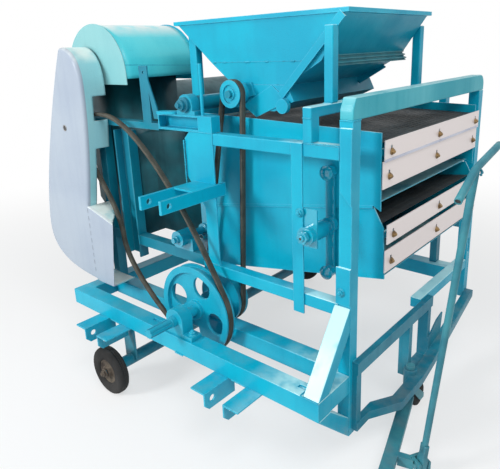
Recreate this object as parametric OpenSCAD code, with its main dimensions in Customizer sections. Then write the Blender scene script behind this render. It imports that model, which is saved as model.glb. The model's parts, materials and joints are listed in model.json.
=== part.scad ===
// Grain cleaning machine on a tractor hitch: tube frame, hopper, shaking sieve shoes, fan and tow bar.
// X runs along the machine towards the discharge end, from the drive shaft.
// Y runs from the hitch face of the front beam to the rear side, Z is up from the ground.

/* [Base frame] */
// Width and height of the square base tube
base_tube = 65; // [50:1:70]
// Height of the underside of the base tubes
base_z = 280; // [275:1:290]
// Length from the drive shaft to the left end of the base
base_left = 665; // [650:1:680]
// Length from the drive shaft to the discharge end of the base
base_right = 628; // [610:1:650]
// Distance from the front beam face to the main front plane
front_y = 172; // [165:1:180]
// Distance from the front beam face to the rear face of the base
frame_depth = 1213; // [1180:1:1240]
// Width of the posts and rails
rail_w = 42; // [36:1:46]
// Length of the long slot in the base beams
slot_len = 46; // [30:1:60]
// Width of the slots and notches in the beams
slot_w = 12; // [6:1:16]

/* [Upper frame] */
// Underside of the middle rail
mid_z = 537; // [525:1:550]
// Height of the middle rail section
mid_h = 43; // [36:1:50]
// Underside of the upper beam
upper_z = 1020; // [1000:1:1040]
// Height of the upper beam section
upper_h = 41; // [36:1:50]
// Left face of the main post
main_post_x = 30; // [26:1:40]
// Width of the main post
main_post_w = 56; // [50:1:64]
// Width of the stiffening plate beside the main post
main_plate_w = 83; // [70:1:95]
// Height of the stiffening plate beside the main post
main_plate_h = 270; // [240:1:300]
// Thickness of plates and flat brackets
plate_t = 6; // [5:1:8]
// Left face of the angle post
angle_x = 420; // [410:1:430]
// Lower end of the angle post
angle_z = 509; // [500:1:520]
// Width of the discharge end posts
end_post_w = 43; // [38:1:50]
// Lower end of the front discharge post
end_post_z = 118; // [110:1:130]
// Lower end of the rear discharge post
far_post_z = 210; // [200:1:225]
// Underside of the outer hoop
hoop_z = 1133; // [1120:1:1150]
// Height of the outer hoop section
hoop_h = 62; // [50:1:70]
// Left face of the left channel post
left_post_x = -484; // [-490:1:-470]
// Width of the left channel post
left_post_w = 97; // [85:1:105]
// Lower end of the left channel post
left_post_z = 501; // [490:1:515]
// Left face of the stand under the top left rail
stand_x = -600; // [-602:1:-596]
// Height of the top left rail section
top_rail_h = 25; // [20:1:34]

/* [Hitch] */
// Distance between the planes of the two lower hitch pairs
hitch_span = 683; // [660:1:700]
// Gap between the two lugs of one pair
lug_gap = 79; // [70:1:90]
// Leg width of the hitch angle
lug_leg = 65; // [60:1:75]
// Forward reach of the hitch lugs
lug_reach = 110; // [100:1:125]
// Radius of the lower hitch pin hole
lower_pin_r = 11.2; // [11:0.1:12]
// Distance of the pin hole from the front beam face
lug_hole_y = 76; // [70:1:82]
// Height of the pin hole
lug_hole_z = 250; // [244:1:254]
// Radius of the top link pin hole
top_pin_r = 9.8; // [9.5:0.1:11]
// Height of the middle of the top link bars
top_link_z = 862; // [850:1:875]
// Height of the top link bars
top_link_h = 45; // [40:1:50]
// Thickness of the top link bars
top_link_t = 10; // [8:1:12]
// Forward reach of the top link bars
top_link_reach = 78; // [70:1:90]

/* [Wheels] */
// Radius of the left transport wheels
wheel_r = 100; // [90:1:110]
// Width of the left transport wheels
wheel_w = 50; // [42:1:56]
// Distance of the left axle from the drive shaft
axle_x = -342; // [-360:1:-330]
// Radius of the axle tube
axle_tube_r = 24; // [20:1:28]
// Radius of the axle pins
axle_pin_r = 10; // [8:0.5:12]
// Radius of the caster wheel
caster_r = 45; // [40:1:48]
// Width of the caster wheel
caster_w = 36; // [30:1:38]
// Trail of the caster wheel behind its swivel
caster_trail = 60; // [56:1:66]
// Running clearance between a shaft and its bore, on the radius
run_gap = 0.06; // [0.03:0.01:0.1]

/* [Drive] */
// Height of the drive shaft
pto_z = 402; // [398:1:406]
// Radius of the drive shaft
pto_r = 20; // [18:0.5:22]
// Radius of the splined end
spline_r = 17.45; // [16:0.05:18]
// Number of splines
spline_count = 6; // [6:1:21]
// Forward reach of the splined end
pto_reach = 108; // [95:1:120]
// Radius of the large pulley
big_r = 172.5; // [160:0.5:176]
// Width of the large pulley
big_w = 40; // [34:1:44]
// Radius of the drum pulley
drum_r = 102.5; // [95:0.5:106]
// Radius of the fan pulley
fan_pulley_r = 60; // [52:1:66]
// Radius of the feed pulley
feed_pulley_r = 47; // [42:1:50]
// Belt width
belt_w = 22; // [16:1:23]
// Belt thickness
belt_t = 13; // [10:1:14]
// Depth of the belt in its groove
belt_sink = 11; // [9:1:12]
// Distance of the fan belt from the front beam face
fan_belt_y = 125; // [122:1:127]
// Distance of the feed belt from the front beam face
feed_belt_y = 270; // [267:1:272]
// Position of the fan shaft along the machine
fan_x = -655; // [-660:1:-648]
// Height of the fan shaft
fan_z = 1046; // [1035:1:1055]
// Position of the feed shaft along the machine
feed_x = 100; // [96:1:106]
// Height of the feed shaft
feed_z = 1184; // [1178:1:1190]
// Radius of the feed roller
feed_roller_r = 34; // [28:1:36]
// Radius of the feed and fan shafts
small_shaft_r = 12; // [10:0.5:14]

/* [Hopper] */
// Left edge of the hopper rim
rim_left = -216; // [-225:1:-190]
// Right edge of the hopper rim
rim_right = 523; // [510:1:535]
// Front edge of the hopper rim
rim_front = 314; // [306:1:318]
// Depth of the hopper rim
rim_depth = 569; // [550:1:590]
// Height of the hopper rim
rim_z = 1434; // [1420:1:1450]
// Height of the seam between the hopper sheets
seam_z = 1287; // [1275:1:1300]
// Left edge of the hopper at the seam
seam_left = -50; // [-56:1:-40]
// Right edge of the hopper at the seam
seam_right = 426; // [418:1:434]
// Height of the hopper foot
foot_z = 1212; // [1208:1:1220]
// Left edge of the hopper foot
foot_left = 50; // [44:1:56]
// Right edge of the hopper foot
foot_right = 292; // [284:1:300]
// Thickness of the sheet metal
sheet_t = 3; // [2:0.5:4]
// Height of the rim lip
lip_h = 14; // [10:1:20]

/* [Hood and guard] */
// Radius of the hood
hood_r = 190; // [180:1:200]
// Position of the hood axis along the machine
hood_x = -558; // [-566:1:-550]
// Height of the hood axis
hood_z = 1252; // [1245:1:1260]
// Length of the hood
hood_len = 372; // [340:1:400]
// Lower edge of the right skirt of the hood
skirt_z = 1236; // [1228:1:1242]
// Front edge of the hood
hood_y = 178; // [175:1:190]
// Left edge of the belt guard at its widest
guard_left = -911; // [-920:1:-900]
// Right edge of the upper guard
guard_right = -500; // [-506:1:-494]
// Top of the guard
guard_top = 1364; // [1350:1:1375]
// Front face of the guard
guard_y = 60; // [54:1:66]
// Depth of the guard
guard_d = 108; // [100:1:110]
// Right edge of the lower guard box
guard_box_right = -443; // [-450:1:-436]

/* [Sieve shoes] */
// Outer face of the front side plate
shoe_front = 300; // [299:1:304]
// Distance from the rear side plate to the rear face of the base
rear_space = 128; // [122:1:136]
// Left end of the shoes
shoe_left = -100; // [-102:1:-96]
// Right end of the shoes
shoe_right = 650; // [640:1:654]
// Top edge of the upper shoe at the discharge end
shoe_top = 1085; // [1078:1:1092]
// Bottom edge of the lower shoe at the discharge end
shoe_bottom = 632; // [622:1:642]
// Height of the seam between the shoes at the discharge end
shoe_seam = 857; // [850:1:864]
// Rise of the seam along the whole shoe
seam_rise = 110; // [100:1:116]
// Thickness of the side plates
side_t = 5; // [4:0.5:6]
// Thickness of the sieve decks
sieve_t = 8; // [6:1:10]
// Thickness of the end boards
board_t = 4; // [3:0.5:5]
// Half of the shaking stroke
half_stroke = 12; // [8:1:14]
// Downward travel of an end board in its slots
board_drop = 14; // [8:1:16]
// Radius of the board bolts
board_bolt_r = 4; // [3:0.5:5]

/* [Tow bar] */
// Position of the caster swivel beside the end post face
swivel_out = 36; // [34:1:40]
// Distance of the caster swivel from the front beam face
swivel_y = 545; // [535:1:553]
// Radius of the swivel pin
swivel_r = 12; // [10:0.5:13]
// Width of the lower tow tubes
tow_tube = 42; // [36:1:44]
// Length of the tongue from the swivel to its tip
tongue_len = 430; // [400:1:440]
// Length of the pull pole
pole_len = 989; // [960:1:1040]
// Radius of the pull pole
pole_r = 10; // [9:0.5:14]
// Radius of the handle tube
handle_r = 9.5; // [8:0.5:12]
// Front arm length of the handle
handle_front = 127; // [110:1:140]
// Rear arm length of the handle
handle_rear = 172; // [150:1:185]

/* [Hidden] */
$fn = 48;

teal = [0.05, 0.68, 0.76];
deep_teal = [0.04, 0.45, 0.55];
guard_grey = [0.75, 0.77, 0.84];
pale_metal = [0.86, 0.80, 0.78];
dark_sieve = [0.18, 0.19, 0.20];
rubber = [0.16, 0.16, 0.17];
belt_brown = [0.35, 0.33, 0.28];
brass = [0.55, 0.42, 0.24];

base_top = base_z + base_tube;
rear_y = frame_depth - rail_w;
mid_top = mid_z + mid_h;
upper_top = upper_z + upper_h;
shoe_rear = frame_depth - rear_space;
mid_y = (shoe_front + shoe_rear) / 2;
end_post_x = base_right - end_post_w;
main_right = main_post_x + main_post_w;
channel_top = upper_top + 55;
channel_left = -191;
bearer_z = hoop_z;
bearer_h = 32;

// Block between two corners
module block(x0, x1, y0, y1, z0, z1) {
    translate([x0, y0, z0])
        cube([x1 - x0, y1 - y0, z1 - z0]);
}

// Round bar along Y
module bar_y(x, z, y0, y1, r) {
    translate([x, y0, z])
        rotate([-90, 0, 0])
            cylinder(h = y1 - y0, r = r);
}

// Round bar along X
module bar_x(y, z, x0, x1, r) {
    translate([x0, y, z])
        rotate([0, 90, 0])
            cylinder(h = x1 - x0, r = r);
}

// Round bar along Z
module bar_z(x, y, z0, z1, r) {
    translate([x, y, z0])
        cylinder(h = z1 - z0, r = r);
}

// Plate with an outline in X and Z
module plate_xz(points, y0, y1) {
    translate([0, y1, 0])
        rotate([90, 0, 0])
            linear_extrude(y1 - y0)
                polygon(points);
}

// Plate with an outline in Y and Z
module plate_yz(points, x0, x1) {
    translate([x0, 0, 0])
        rotate([90, 0, 90])
            linear_extrude(x1 - x0)
                polygon(points);
}

// Copy of a piece on the rear side, mirrored about the middle of the shoes
module rear_copy() {
    translate([0, 2 * mid_y, 0])
        mirror([0, 1, 0])
            children();
}

// Hexagon bolt head along Y with its face at y0
module hex_y(x, z, y0, y1, r) {
    translate([x, y0, z])
        rotate([-90, 0, 0])
            cylinder(h = y1 - y0, r = r, $fn = 6);
}

// Hexagon bolt head along X with its face at x0
module hex_x(y, z, x0, x1, r) {
    translate([x0, y, z])
        rotate([0, 90, 0])
            cylinder(h = x1 - x0, r = r, $fn = 6);
}

// Base frame

front_slot_x = -160;
notch_x = 530;
notch_w = 40;
notch_d = 15;
slot_depth = 8;

module front_beam() {
    color(teal)
        difference() {
            block(-base_left, base_right, 0, base_tube, base_z, base_top);
            block(front_slot_x, front_slot_x + slot_len, base_tube / 2, base_tube / 2 + slot_w,
                base_top - slot_depth, base_top + slot_depth);
            block(notch_x, notch_x + notch_w, base_tube / 2, base_tube / 2 + notch_d,
                base_top - slot_depth, base_top + slot_depth);
        }
}

module cross_beams() {
    color(teal)
        block(base_tube - base_left, end_post_x, front_y, front_y + base_tube, base_z, base_top);
    color(deep_teal)
        block(base_tube - base_left, end_post_x, frame_depth - base_tube, frame_depth, base_z,
            base_top);
}

module left_member() {
    color(teal)
        block(-base_left, base_tube - base_left, base_tube, frame_depth, base_z, base_top);
}

side_tube = 42;
side_z = 353;
side_start = 690;

module right_member() {
    color(teal) {
        block(base_right - base_tube, base_right, base_tube, front_y, base_z, base_top);
        block(base_right - side_tube, base_right, side_start, rear_y, side_z,
            side_z + side_tube);
    }
}

// Lower hitch lugs: angle iron under the front beam

lug_chamfer = 18;
lug_rear = 30;
hitch_mid = -36;
lug_centres = [hitch_mid - hitch_span / 2, hitch_mid + hitch_span / 2];

// One lug with its web facing +X at x = 0
module lug() {
    difference() {
        union() {
            block(-lug_leg, 0, -lug_reach, lug_rear, base_z - plate_t, base_z);
            plate_yz([[-lug_reach, base_z - plate_t], [-lug_reach, base_z - lug_leg + lug_chamfer],
                [lug_chamfer - lug_reach, base_z - lug_leg], [lug_rear, base_z - lug_leg],
                [lug_rear, base_z - plate_t]], -plate_t, 0);
        }
        bar_x(-lug_hole_y, lug_hole_z, -2 * plate_t, plate_t, lower_pin_r);
    }
}

module lower_hitch() {
    color(teal)
        for (c = lug_centres) {
            translate([c - lug_gap / 2, 0, 0])
                lug();
            translate([c + lug_gap / 2, 0, 0])
                mirror([1, 0, 0])
                    lug();
        }
}

// Top link bars on both sides of the main post, with a plate between them

link_hole_y = -45;
link_left = main_post_x - 45;

module top_link_bars() {
    z0 = top_link_z - top_link_h / 2;
    z1 = top_link_z + top_link_h / 2;
    color(teal)
        difference() {
            union() {
                block(link_left, link_left + top_link_t, -top_link_reach, front_y, z0, z1);
                block(main_right, main_right + top_link_t, -top_link_reach, front_y + rail_w,
                    z0, z1);
                block(link_left + top_link_t, main_right, base_tube, front_y, z1 - plate_t, z1);
            }
            bar_x(link_hole_y, top_link_z, link_left - top_link_t, main_right + 2 * top_link_t,
                top_pin_r);
        }
}

// Main post: an angle with a bevelled stiffening plate on its left side

plate_bevel = 26;
plate_lower = upper_top - main_plate_h;

module main_post() {
    color(teal) {
        block(main_post_x, main_right, front_y, front_y + plate_t, mid_top, upper_top);
        block(main_post_x, main_post_x + plate_t, front_y + plate_t, front_y + rail_w, mid_top,
            upper_top);
        plate_xz([[main_post_x - main_plate_w, upper_top - plate_bevel],
            [main_post_x - main_plate_w + plate_bevel, upper_top],
            [main_post_x, upper_top], [main_post_x, plate_lower],
            [main_post_x - main_plate_w, plate_lower + main_plate_w + plate_bevel]],
            front_y, front_y + plate_t);
    }
}

// Angle post: a flange in front of the middle rail and a web behind the flange

angle_flange = 41;

module angle_post() {
    color(teal) {
        difference() {
            block(angle_x, angle_x + angle_flange, front_y - plate_t, front_y, angle_z, upper_top);
            bar_y(right_pivot_x, right_pivot_z, front_y - plate_t - 1, front_y + 1,
                house_r + seat_gap);
        }
        block(angle_x, angle_x + plate_t, front_y, front_y + rail_w, mid_top, upper_top);
    }
}

// Left posts: an open channel and the stand that carries the top left rail

channel_wall = 8;
stand_w = 43;

module left_posts() {
    color(deep_teal) {
        difference() {
            block(left_post_x, left_post_x + left_post_w, front_y, front_y + rail_w,
                left_post_z, upper_z + 16);
            block(left_post_x + channel_wall, left_post_x + left_post_w - channel_wall,
                front_y - 1, front_y + rail_w - channel_wall, left_post_z - 1, upper_z + 17);
        }
        block(stand_x, stand_x + stand_w, front_y, front_y + rail_w, base_top, upper_z + 33);
    }
}

// Front post at the discharge end, with a pointed lap plate above and a splice plate below

lap_left = 200;
lap_right = 240;
lap_top = 20;
splice_z = 583;
splice_h = 120;

module right_post() {
    color(teal) {
        block(end_post_x, base_right, front_y, front_y + rail_w, end_post_z, hoop_z);
        plate_xz([[end_post_x + 5, hoop_z - lap_left], [base_right, hoop_z - lap_right],
            [base_right, hoop_z - lap_top], [end_post_x + 5, hoop_z - lap_top]],
            front_y - plate_t, front_y);
        block(end_post_x - 6, base_right, front_y - plate_t, front_y, splice_z,
            splice_z + splice_h);
    }
}

// Rear post at the discharge end, with slots

far_slot_h = 70;

module far_post() {
    color(teal)
        difference() {
            block(end_post_x, base_right, rear_y, frame_depth, far_post_z, hoop_z);
            for (z = [420, 620])
                block(base_right - slot_depth, base_right + slot_depth,
                    rear_y + rail_w / 2 - slot_w / 2, rear_y + rail_w / 2 + slot_w / 2,
                    z, z + far_slot_h);
        }
}

module mid_rail() {
    color(teal)
        block(main_post_x - 30, end_post_x, front_y, front_y + rail_w, mid_z, mid_top);
}

// Left rails: one low with the rocker bearing on it, one on top

low_rail_z = 560;
top_rail_z = upper_z + 33;
bracket_x = -278;
bracket_w = 47;
bracket_top = 1284;
stay_w = 22;
stay_top = 1234;

// Upright flat bar with a bolt hole and its sloping stay
module hood_bracket() {
    difference() {
        block(bracket_x, bracket_x + bracket_w, front_y, front_y + plate_t,
            top_rail_z + top_rail_h, bracket_top);
        bar_y(bracket_x + bracket_w / 2, bracket_top - bracket_w / 2, front_y - 1,
            front_y + plate_t + 1, axle_pin_r / 2);
    }
    plate_xz([[bracket_x + bracket_w, stay_top], [bracket_x + bracket_w, stay_top - stay_w * 2],
        [channel_left - stay_w, channel_top - stay_w], [channel_left, channel_top - stay_w],
        [channel_left, channel_top + stay_w / 2]], front_y, front_y + plate_t);
}

module left_rails() {
    color(deep_teal) {
        block(stand_x + stand_w, left_post_x, front_y, front_y + rail_w, low_rail_z,
            low_rail_z + rail_w);
        block(left_post_x + left_post_w, main_post_x - 30, front_y, front_y + rail_w, low_rail_z,
            low_rail_z + rail_w);
        block(stand_x, left_post_x + left_post_w + 196, front_y, front_y + rail_w,
            top_rail_z, top_rail_z + top_rail_h);
        hood_bracket();
    }
}

module upper_beam() {
    color(teal) {
        block(main_right, angle_x, front_y, front_y + rail_w, upper_z, upper_top);
        block(angle_x + plate_t, end_post_x, front_y, front_y + rail_w, upper_z, upper_top);
    }
}

// Inclined brace from the discharge post to the front beam, and the bar below it

brace_top = splice_z - 5;
brace_h = 80;
brace_side = 13;
foot_bar_h = 72;

module front_brace() {
    color(teal) {
        plate_yz([[front_y, brace_top], [front_y, brace_top - brace_h],
            [base_tube - 5, base_top], [0, base_top]], end_post_x - brace_side, base_right);
        plate_yz([[0, base_z], [base_tube, base_z], [front_y, end_post_z + foot_bar_h],
            [front_y, end_post_z]], end_post_x - brace_side, base_right);
    }
}

// Outer hoop along the discharge end, mitred in front and rounded at the rear

hoop_round = 40;

module outer_hoop() {
    color(teal)
        difference() {
            block(end_post_x, base_right, front_y, frame_depth, hoop_z, hoop_z + hoop_h);
            plate_yz([[front_y - 1, hoop_z + hoop_h - 36], [front_y - 1, hoop_z + hoop_h + 1],
                [front_y + 16, hoop_z + hoop_h + 1]], end_post_x - 1, base_right + 1);
            difference() {
                block(end_post_x - 1, base_right + 1, frame_depth - hoop_round, frame_depth + 1,
                    hoop_z + hoop_h - hoop_round, hoop_z + hoop_h + 1);
                bar_x(frame_depth - hoop_round, hoop_z + hoop_h - hoop_round,
                    end_post_x - 2, base_right + 2, hoop_round);
            }
        }
}

// Bearers for the hopper posts: an inner hoop on the right and a bar on the left

inner_x = 460;
inner_w = 32;
left_bearer_x = -165;
left_bearer_w = 38;

module hopper_bearers() {
    color(teal) {
        block(inner_x, inner_x + inner_w, front_y, front_y + rail_w, upper_top, bearer_z);
        block(inner_x, inner_x + inner_w, front_y, frame_depth, bearer_z, bearer_z + bearer_h);
        block(inner_x, inner_x + inner_w, rear_y, frame_depth, upper_top, bearer_z);
        block(left_bearer_x, left_bearer_x + left_bearer_w, front_y + rail_w, frame_depth,
            channel_top - 34, channel_top);
    }
}

rear_post_xs = [stand_x, left_bearer_x, main_post_x];

module rear_posts() {
    color(deep_teal) {
        block(stand_x, stand_x + stand_w, rear_y, frame_depth, base_top, upper_top);
        block(left_bearer_x, left_bearer_x + left_bearer_w, rear_y, frame_depth, base_top,
            channel_top - 34);
        block(inner_x, inner_x + inner_w, rear_y, frame_depth, base_top, mid_z);
        block(inner_x, inner_x + inner_w, rear_y, frame_depth, mid_top, upper_z);
    }
}

module rear_rails() {
    color(deep_teal)
        for (z = [[mid_z, mid_top], [upper_z, upper_top]]) {
            block(stand_x + stand_w, left_bearer_x, rear_y, frame_depth, z[0], z[1]);
            block(left_bearer_x + left_bearer_w, end_post_x, rear_y, frame_depth, z[0], z[1]);
        }
}

// Open channel that carries the damper tube, with a short block beside it

module top_channel() {
    color(teal) {
        difference() {
            block(channel_left, main_post_x - 4, front_y, front_y + rail_w, upper_top, channel_top);
            block(channel_left + plate_t, main_post_x - 4 - plate_t, front_y - 1,
                front_y + rail_w - plate_t, upper_top + plate_t, channel_top - plate_t);
        }
        block(main_post_x - 4, main_right, front_y, front_y + rail_w, upper_top, channel_top);
        bar_z(main_post_x - 4, front_y + rail_w / 2, channel_top, channel_top + 172, 6);
        hull() {
            bar_z(-160, front_y - 4, channel_top, channel_top + 10, 20);
            bar_z(-112, front_y + 12, channel_top, channel_top + 10, 20);
        }
    }
}

// Pillow block with a round housing on a flat foot, bored for its shaft

foot_t = 15;

module pillow(x, z, y, seat_z, r_bore, r_house, foot_w, depth) {
    difference() {
        union() {
            block(x - foot_w / 2, x + foot_w / 2, y - depth / 2, y + depth / 2, seat_z,
                seat_z + foot_t);
            block(x - r_house, x + r_house, y - depth / 2, y + depth / 2, seat_z, z);
            bar_y(x, z, y - depth / 2, y + depth / 2, r_house);
        }
        bar_y(x, z, y - depth, y + depth, r_bore);
    }
}

pto_front_y = base_tube / 2;
pto_back_y = front_y + base_tube / 2;
pto_house_r = 44;
pto_foot_w = 176;

module pto_bearings() {
    color(teal) {
        pillow(0, pto_z, pto_front_y, base_top, pto_r + run_gap, pto_house_r, pto_foot_w, 50);
        pillow(0, pto_z, pto_back_y, base_top, pto_r + run_gap, pto_house_r, pto_foot_w, 50);
    }
}

// Bearings of the feed roller, the fan and the damper tube

damper_x = -41;
damper_z = 1152;
damper_r = 26;
flange_r = 34;
casing_front = 240;
casing_rear = rear_y - 26;
flange_turn = 16;
flange_w = 104;
flange_h = 44;
throat_front = 324;
throat_rear = rim_front + rim_depth - 22;

module flange_bearing(x, z, y0, y1) {
    difference() {
        union() {
            bar_y(x, z, y0, y1, flange_r);
            translate([x, 0, z])
                rotate([0, -flange_turn, 0])
                    block(-flange_w / 2, flange_w / 2, y1 - 8, y1, -flange_h / 2, flange_h / 2);
        }
        bar_y(x, z, y0 - 1, y1 + 1, small_shaft_r + run_gap);
    }
}

module shaft_bearings() {
    color(teal) {
        flange_bearing(feed_x, feed_z, throat_front - 24, throat_front);
        translate([0, throat_front + throat_rear, 0])
            mirror([0, 1, 0])
                flange_bearing(feed_x, feed_z, throat_front - 24, throat_front);
        flange_bearing(fan_x, fan_z, casing_front - 24, casing_front);
        translate([0, casing_front + casing_rear, 0])
            mirror([0, 1, 0])
                flange_bearing(fan_x, fan_z, casing_front - 24, casing_front);
        pillow(damper_x, damper_z, front_y + rail_w / 2, channel_top, damper_r + run_gap,
            damper_r + 9, 92, 36);
    }
}

// Rocker bearings: housings on brackets, near and far

right_pivot_x = 480;
right_pivot_z = 781;
left_pivot_x = -105;
left_pivot_z = 650;
rocker_pin_r = 15;
house_r = 29;
seat_gap = 0.5;
house_y0 = front_y - 22;
house_len = 90;

module rocker_bearing_near() {
    difference() {
        union() {
            bar_y(right_pivot_x, right_pivot_z, house_y0, house_y0 + house_len, house_r);
            block(angle_x + plate_t, right_pivot_x + house_r, front_y, front_y + plate_t,
                right_pivot_z - 1.4 * house_r, right_pivot_z + 2.8 * house_r);
        }
        bar_y(right_pivot_x, right_pivot_z, house_y0 - 1, house_y0 + house_len + 1,
            rocker_pin_r + run_gap);
    }
    difference() {
        union() {
            bar_y(left_pivot_x, left_pivot_z, front_y - 30, front_y + rail_w, house_r + 3);
            block(left_pivot_x - 50, left_pivot_x + 50, front_y, front_y + rail_w,
                low_rail_z + rail_w, left_pivot_z);
        }
        bar_y(left_pivot_x, left_pivot_z, front_y - 60, front_y + 80, rocker_pin_r + run_gap);
        block(left_pivot_x - 60, left_pivot_x + 60, front_y - 60, front_y + 60,
            low_rail_z, low_rail_z + rail_w);
    }
}

module rocker_bearing_far() {
    for (p = [[right_pivot_x, right_pivot_z], [left_pivot_x, left_pivot_z]])
        difference() {
            union() {
                bar_y(p[0], p[1], rear_y - 60, rear_y, house_r);
                block(p[0] - 40, p[0] + 40, rear_y - 8, rear_y, mid_z, p[1] + 30);
            }
            bar_y(p[0], p[1], rear_y - 70, rear_y + 10, rocker_pin_r + run_gap);
        }
}

module rocker_bearings() {
    color(teal) {
        rocker_bearing_near();
        rocker_bearing_far();
    }
}

// Hopper: two stages of sloping sheets with a lip round the rim

rim_rear = rim_front + rim_depth;
seam_front = rim_front + 10;
seam_rear = throat_rear;
wall_run = 4.5;

module stage(x0, x1, y0, y1, z0, u0, u1, v0, v1, z1) {
    polyhedron(points = [[x0, y0, z0], [x1, y0, z0], [x1, y1, z0], [x0, y1, z0],
        [u0, v0, z1], [u1, v0, z1], [u1, v1, z1], [u0, v1, z1]],
        faces = [[0, 1, 2, 3], [4, 7, 6, 5], [0, 4, 5, 1], [1, 5, 6, 2], [2, 6, 7, 3],
        [3, 7, 4, 0]]);
}

module hopper_space(t, over) {
    stage(seam_left + t, seam_right - t, seam_front + sheet_t * sign(t),
        seam_rear - sheet_t * sign(t), seam_z, rim_left + t, rim_right - t,
        rim_front + sheet_t * sign(t), rim_rear - sheet_t * sign(t), rim_z + over);
    stage(foot_left + t, foot_right - t, throat_front + sheet_t * sign(t),
        throat_rear - sheet_t * sign(t), foot_z - over, seam_left + t, seam_right - t,
        seam_front + sheet_t * sign(t), seam_rear - sheet_t * sign(t), seam_z);
}

module hopper() {
    color(teal) {
        difference() {
            union() {
                hopper_space(0, 0);
                block(rim_left - 5, rim_right + 5, rim_front - 5, rim_rear + 5, rim_z - lip_h,
                    rim_z);
            }
            hopper_space(wall_run, 1);
        }
    }
}

// Hopper posts: the left ones are cut to the slope of the end sheet

left_slope = (rim_z - seam_z) / (seam_left - rim_left);
post_clear = 1;

function left_wall_z(x) = seam_z + (seam_left - x) * left_slope - post_clear;

post_top = 1388;
front_post_y = rim_front + 2;

module hopper_posts() {
    color(teal) {
        block(inner_x, inner_x + inner_w, front_post_y - inner_w, front_post_y,
            bearer_z + bearer_h, post_top);
        block(inner_x, inner_x + inner_w, rim_rear - 2, rim_rear - 2 + inner_w,
            bearer_z + bearer_h, post_top);
        for (y = [rim_front + 12, rim_rear - 12 - inner_w])
            plate_xz([[left_bearer_x, channel_top], [left_bearer_x + left_bearer_w, channel_top],
                [left_bearer_x + left_bearer_w, left_wall_z(left_bearer_x + left_bearer_w)],
                [left_bearer_x, left_wall_z(left_bearer_x)]], y, y + inner_w);
    }
}

// Feed throat: end plates, sloping bottom plates and the ribbed rail on the right

throat_right = foot_right + 26;
throat_side_z = foot_z - 52;
chute_left = foot_left + 100;
chute_right = foot_right - 54;
chute_z = foot_z - 87;
left_side_z = foot_z - 62;
slope_t = 4;
throat_points = [[foot_left, foot_z], [foot_right, foot_z], [throat_right, throat_side_z],
    [chute_right, chute_z], [chute_left, chute_z], [foot_left, left_side_z]];
door_points = [[throat_right - 22, foot_z - 51], [foot_right - 61, foot_z],
    [foot_left + 52, foot_z - 71], [foot_left + 110, foot_z - 110]];
door_t = 5;
cap_x = foot_right - 8;
cap_z = foot_z - 67;
cap_r = 24;

module throat() {
    color(teal) {
        difference() {
            union() {
                plate_xz(throat_points, throat_front, throat_front + sheet_t);
                plate_xz(throat_points, throat_rear - sheet_t, throat_rear);
            }
            bar_y(feed_x, feed_z, throat_front - 1, throat_rear + 1, small_shaft_r + 2);
        }
        plate_xz(door_points, throat_front - door_t, throat_front);
        bar_y(cap_x, cap_z, throat_front - door_t - 16, throat_front - door_t, cap_r);
        plate_xz([[foot_right - slope_t, foot_z], [foot_right, foot_z],
            [throat_right, throat_side_z], [throat_right - slope_t, throat_side_z]],
            throat_front + sheet_t, throat_rear - sheet_t);
        plate_xz([[throat_right - slope_t, throat_side_z], [throat_right, throat_side_z],
            [chute_right, chute_z], [chute_right - slope_t, chute_z]],
            throat_front + sheet_t, throat_rear - sheet_t);
        plate_xz([[foot_left, foot_z], [foot_left + slope_t, foot_z],
            [foot_left + slope_t, left_side_z], [foot_left, left_side_z]],
            throat_front + sheet_t, throat_rear - sheet_t);
    }
}

// Hood: a half round sheet with straight skirts, closed at both ends

hood_rear = hood_y + hood_len;
hood_left_z = 1214;

module hood() {
    color(teal)
        difference() {
            union() {
                bar_y(hood_x, hood_z, hood_y, hood_rear, hood_r);
                block(hood_x - hood_r, hood_x + hood_r, hood_y, hood_rear, hood_left_z, hood_z);
            }
            bar_y(hood_x, hood_z, hood_y + sheet_t, hood_rear - sheet_t, hood_r - sheet_t);
            block(hood_x - hood_r + sheet_t, hood_x + hood_r - sheet_t, hood_y + sheet_t,
                hood_rear - sheet_t, hood_left_z - 80, hood_z);
            block(hood_x - hood_r - 1, hood_x + hood_r + 1, hood_y - 1, hood_rear + 1,
                hood_z - hood_r - 1, hood_left_z);
            block(hood_x, hood_x + hood_r + 1, hood_y + sheet_t, hood_rear + 1, hood_left_z - 1,
                skirt_z);
        }
}

// Guard over the fan belt: round top, curved lower edge, notched right face and a lower box

guard_steps = 12;
box_top = 674;
box_left_z = 723;
box_bottom = 392;
widest_z = 591;
shoulder_z = 1221;

function arc(x, z, r, a0, a1, n) =
    [for (i = [0:n]) [x + r * cos(a0 + (a1 - a0) * i / n), z + r * sin(a0 + (a1 - a0) * i / n)]];
function bezier(a, b, c, d, n) =
    [for (i = [0:n]) let (t = i / n, s = 1 - t)
        a * s * s * s + b * 3 * s * s * t + c * 3 * s * t * t + d * t * t * t];
function guard_outline(t) = concat(
    bezier([guard_right - 67 - t, box_left_z], [guard_right - 22 - t, box_left_z + 177],
        [guard_right + 3 - t, shoulder_z - 140], [guard_right - t, shoulder_z], guard_steps),
    bezier([guard_right - t, shoulder_z], [guard_right - t, shoulder_z + 90 - t],
        [guard_right - 60, guard_top + 4 - t], [guard_right - 128 + t, guard_top - 4 - t],
        guard_steps),
    bezier([guard_right - 134 + t, guard_top - 10 - t], [guard_right - 200 + t, shoulder_z + 19],
        [guard_left + 6 + t, widest_z + 209], [guard_left + t, widest_z], guard_steps),
    bezier([guard_left + t, widest_z], [guard_left - 4 + t, widest_z - 161 + t],
        [guard_left + 171, box_bottom - 7 + t], [guard_box_right - t, box_bottom + t],
        guard_steps),
    [[guard_box_right + 46 - t, box_top - t]]);

hole_r = 9;
notch_deep = 62;

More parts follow.
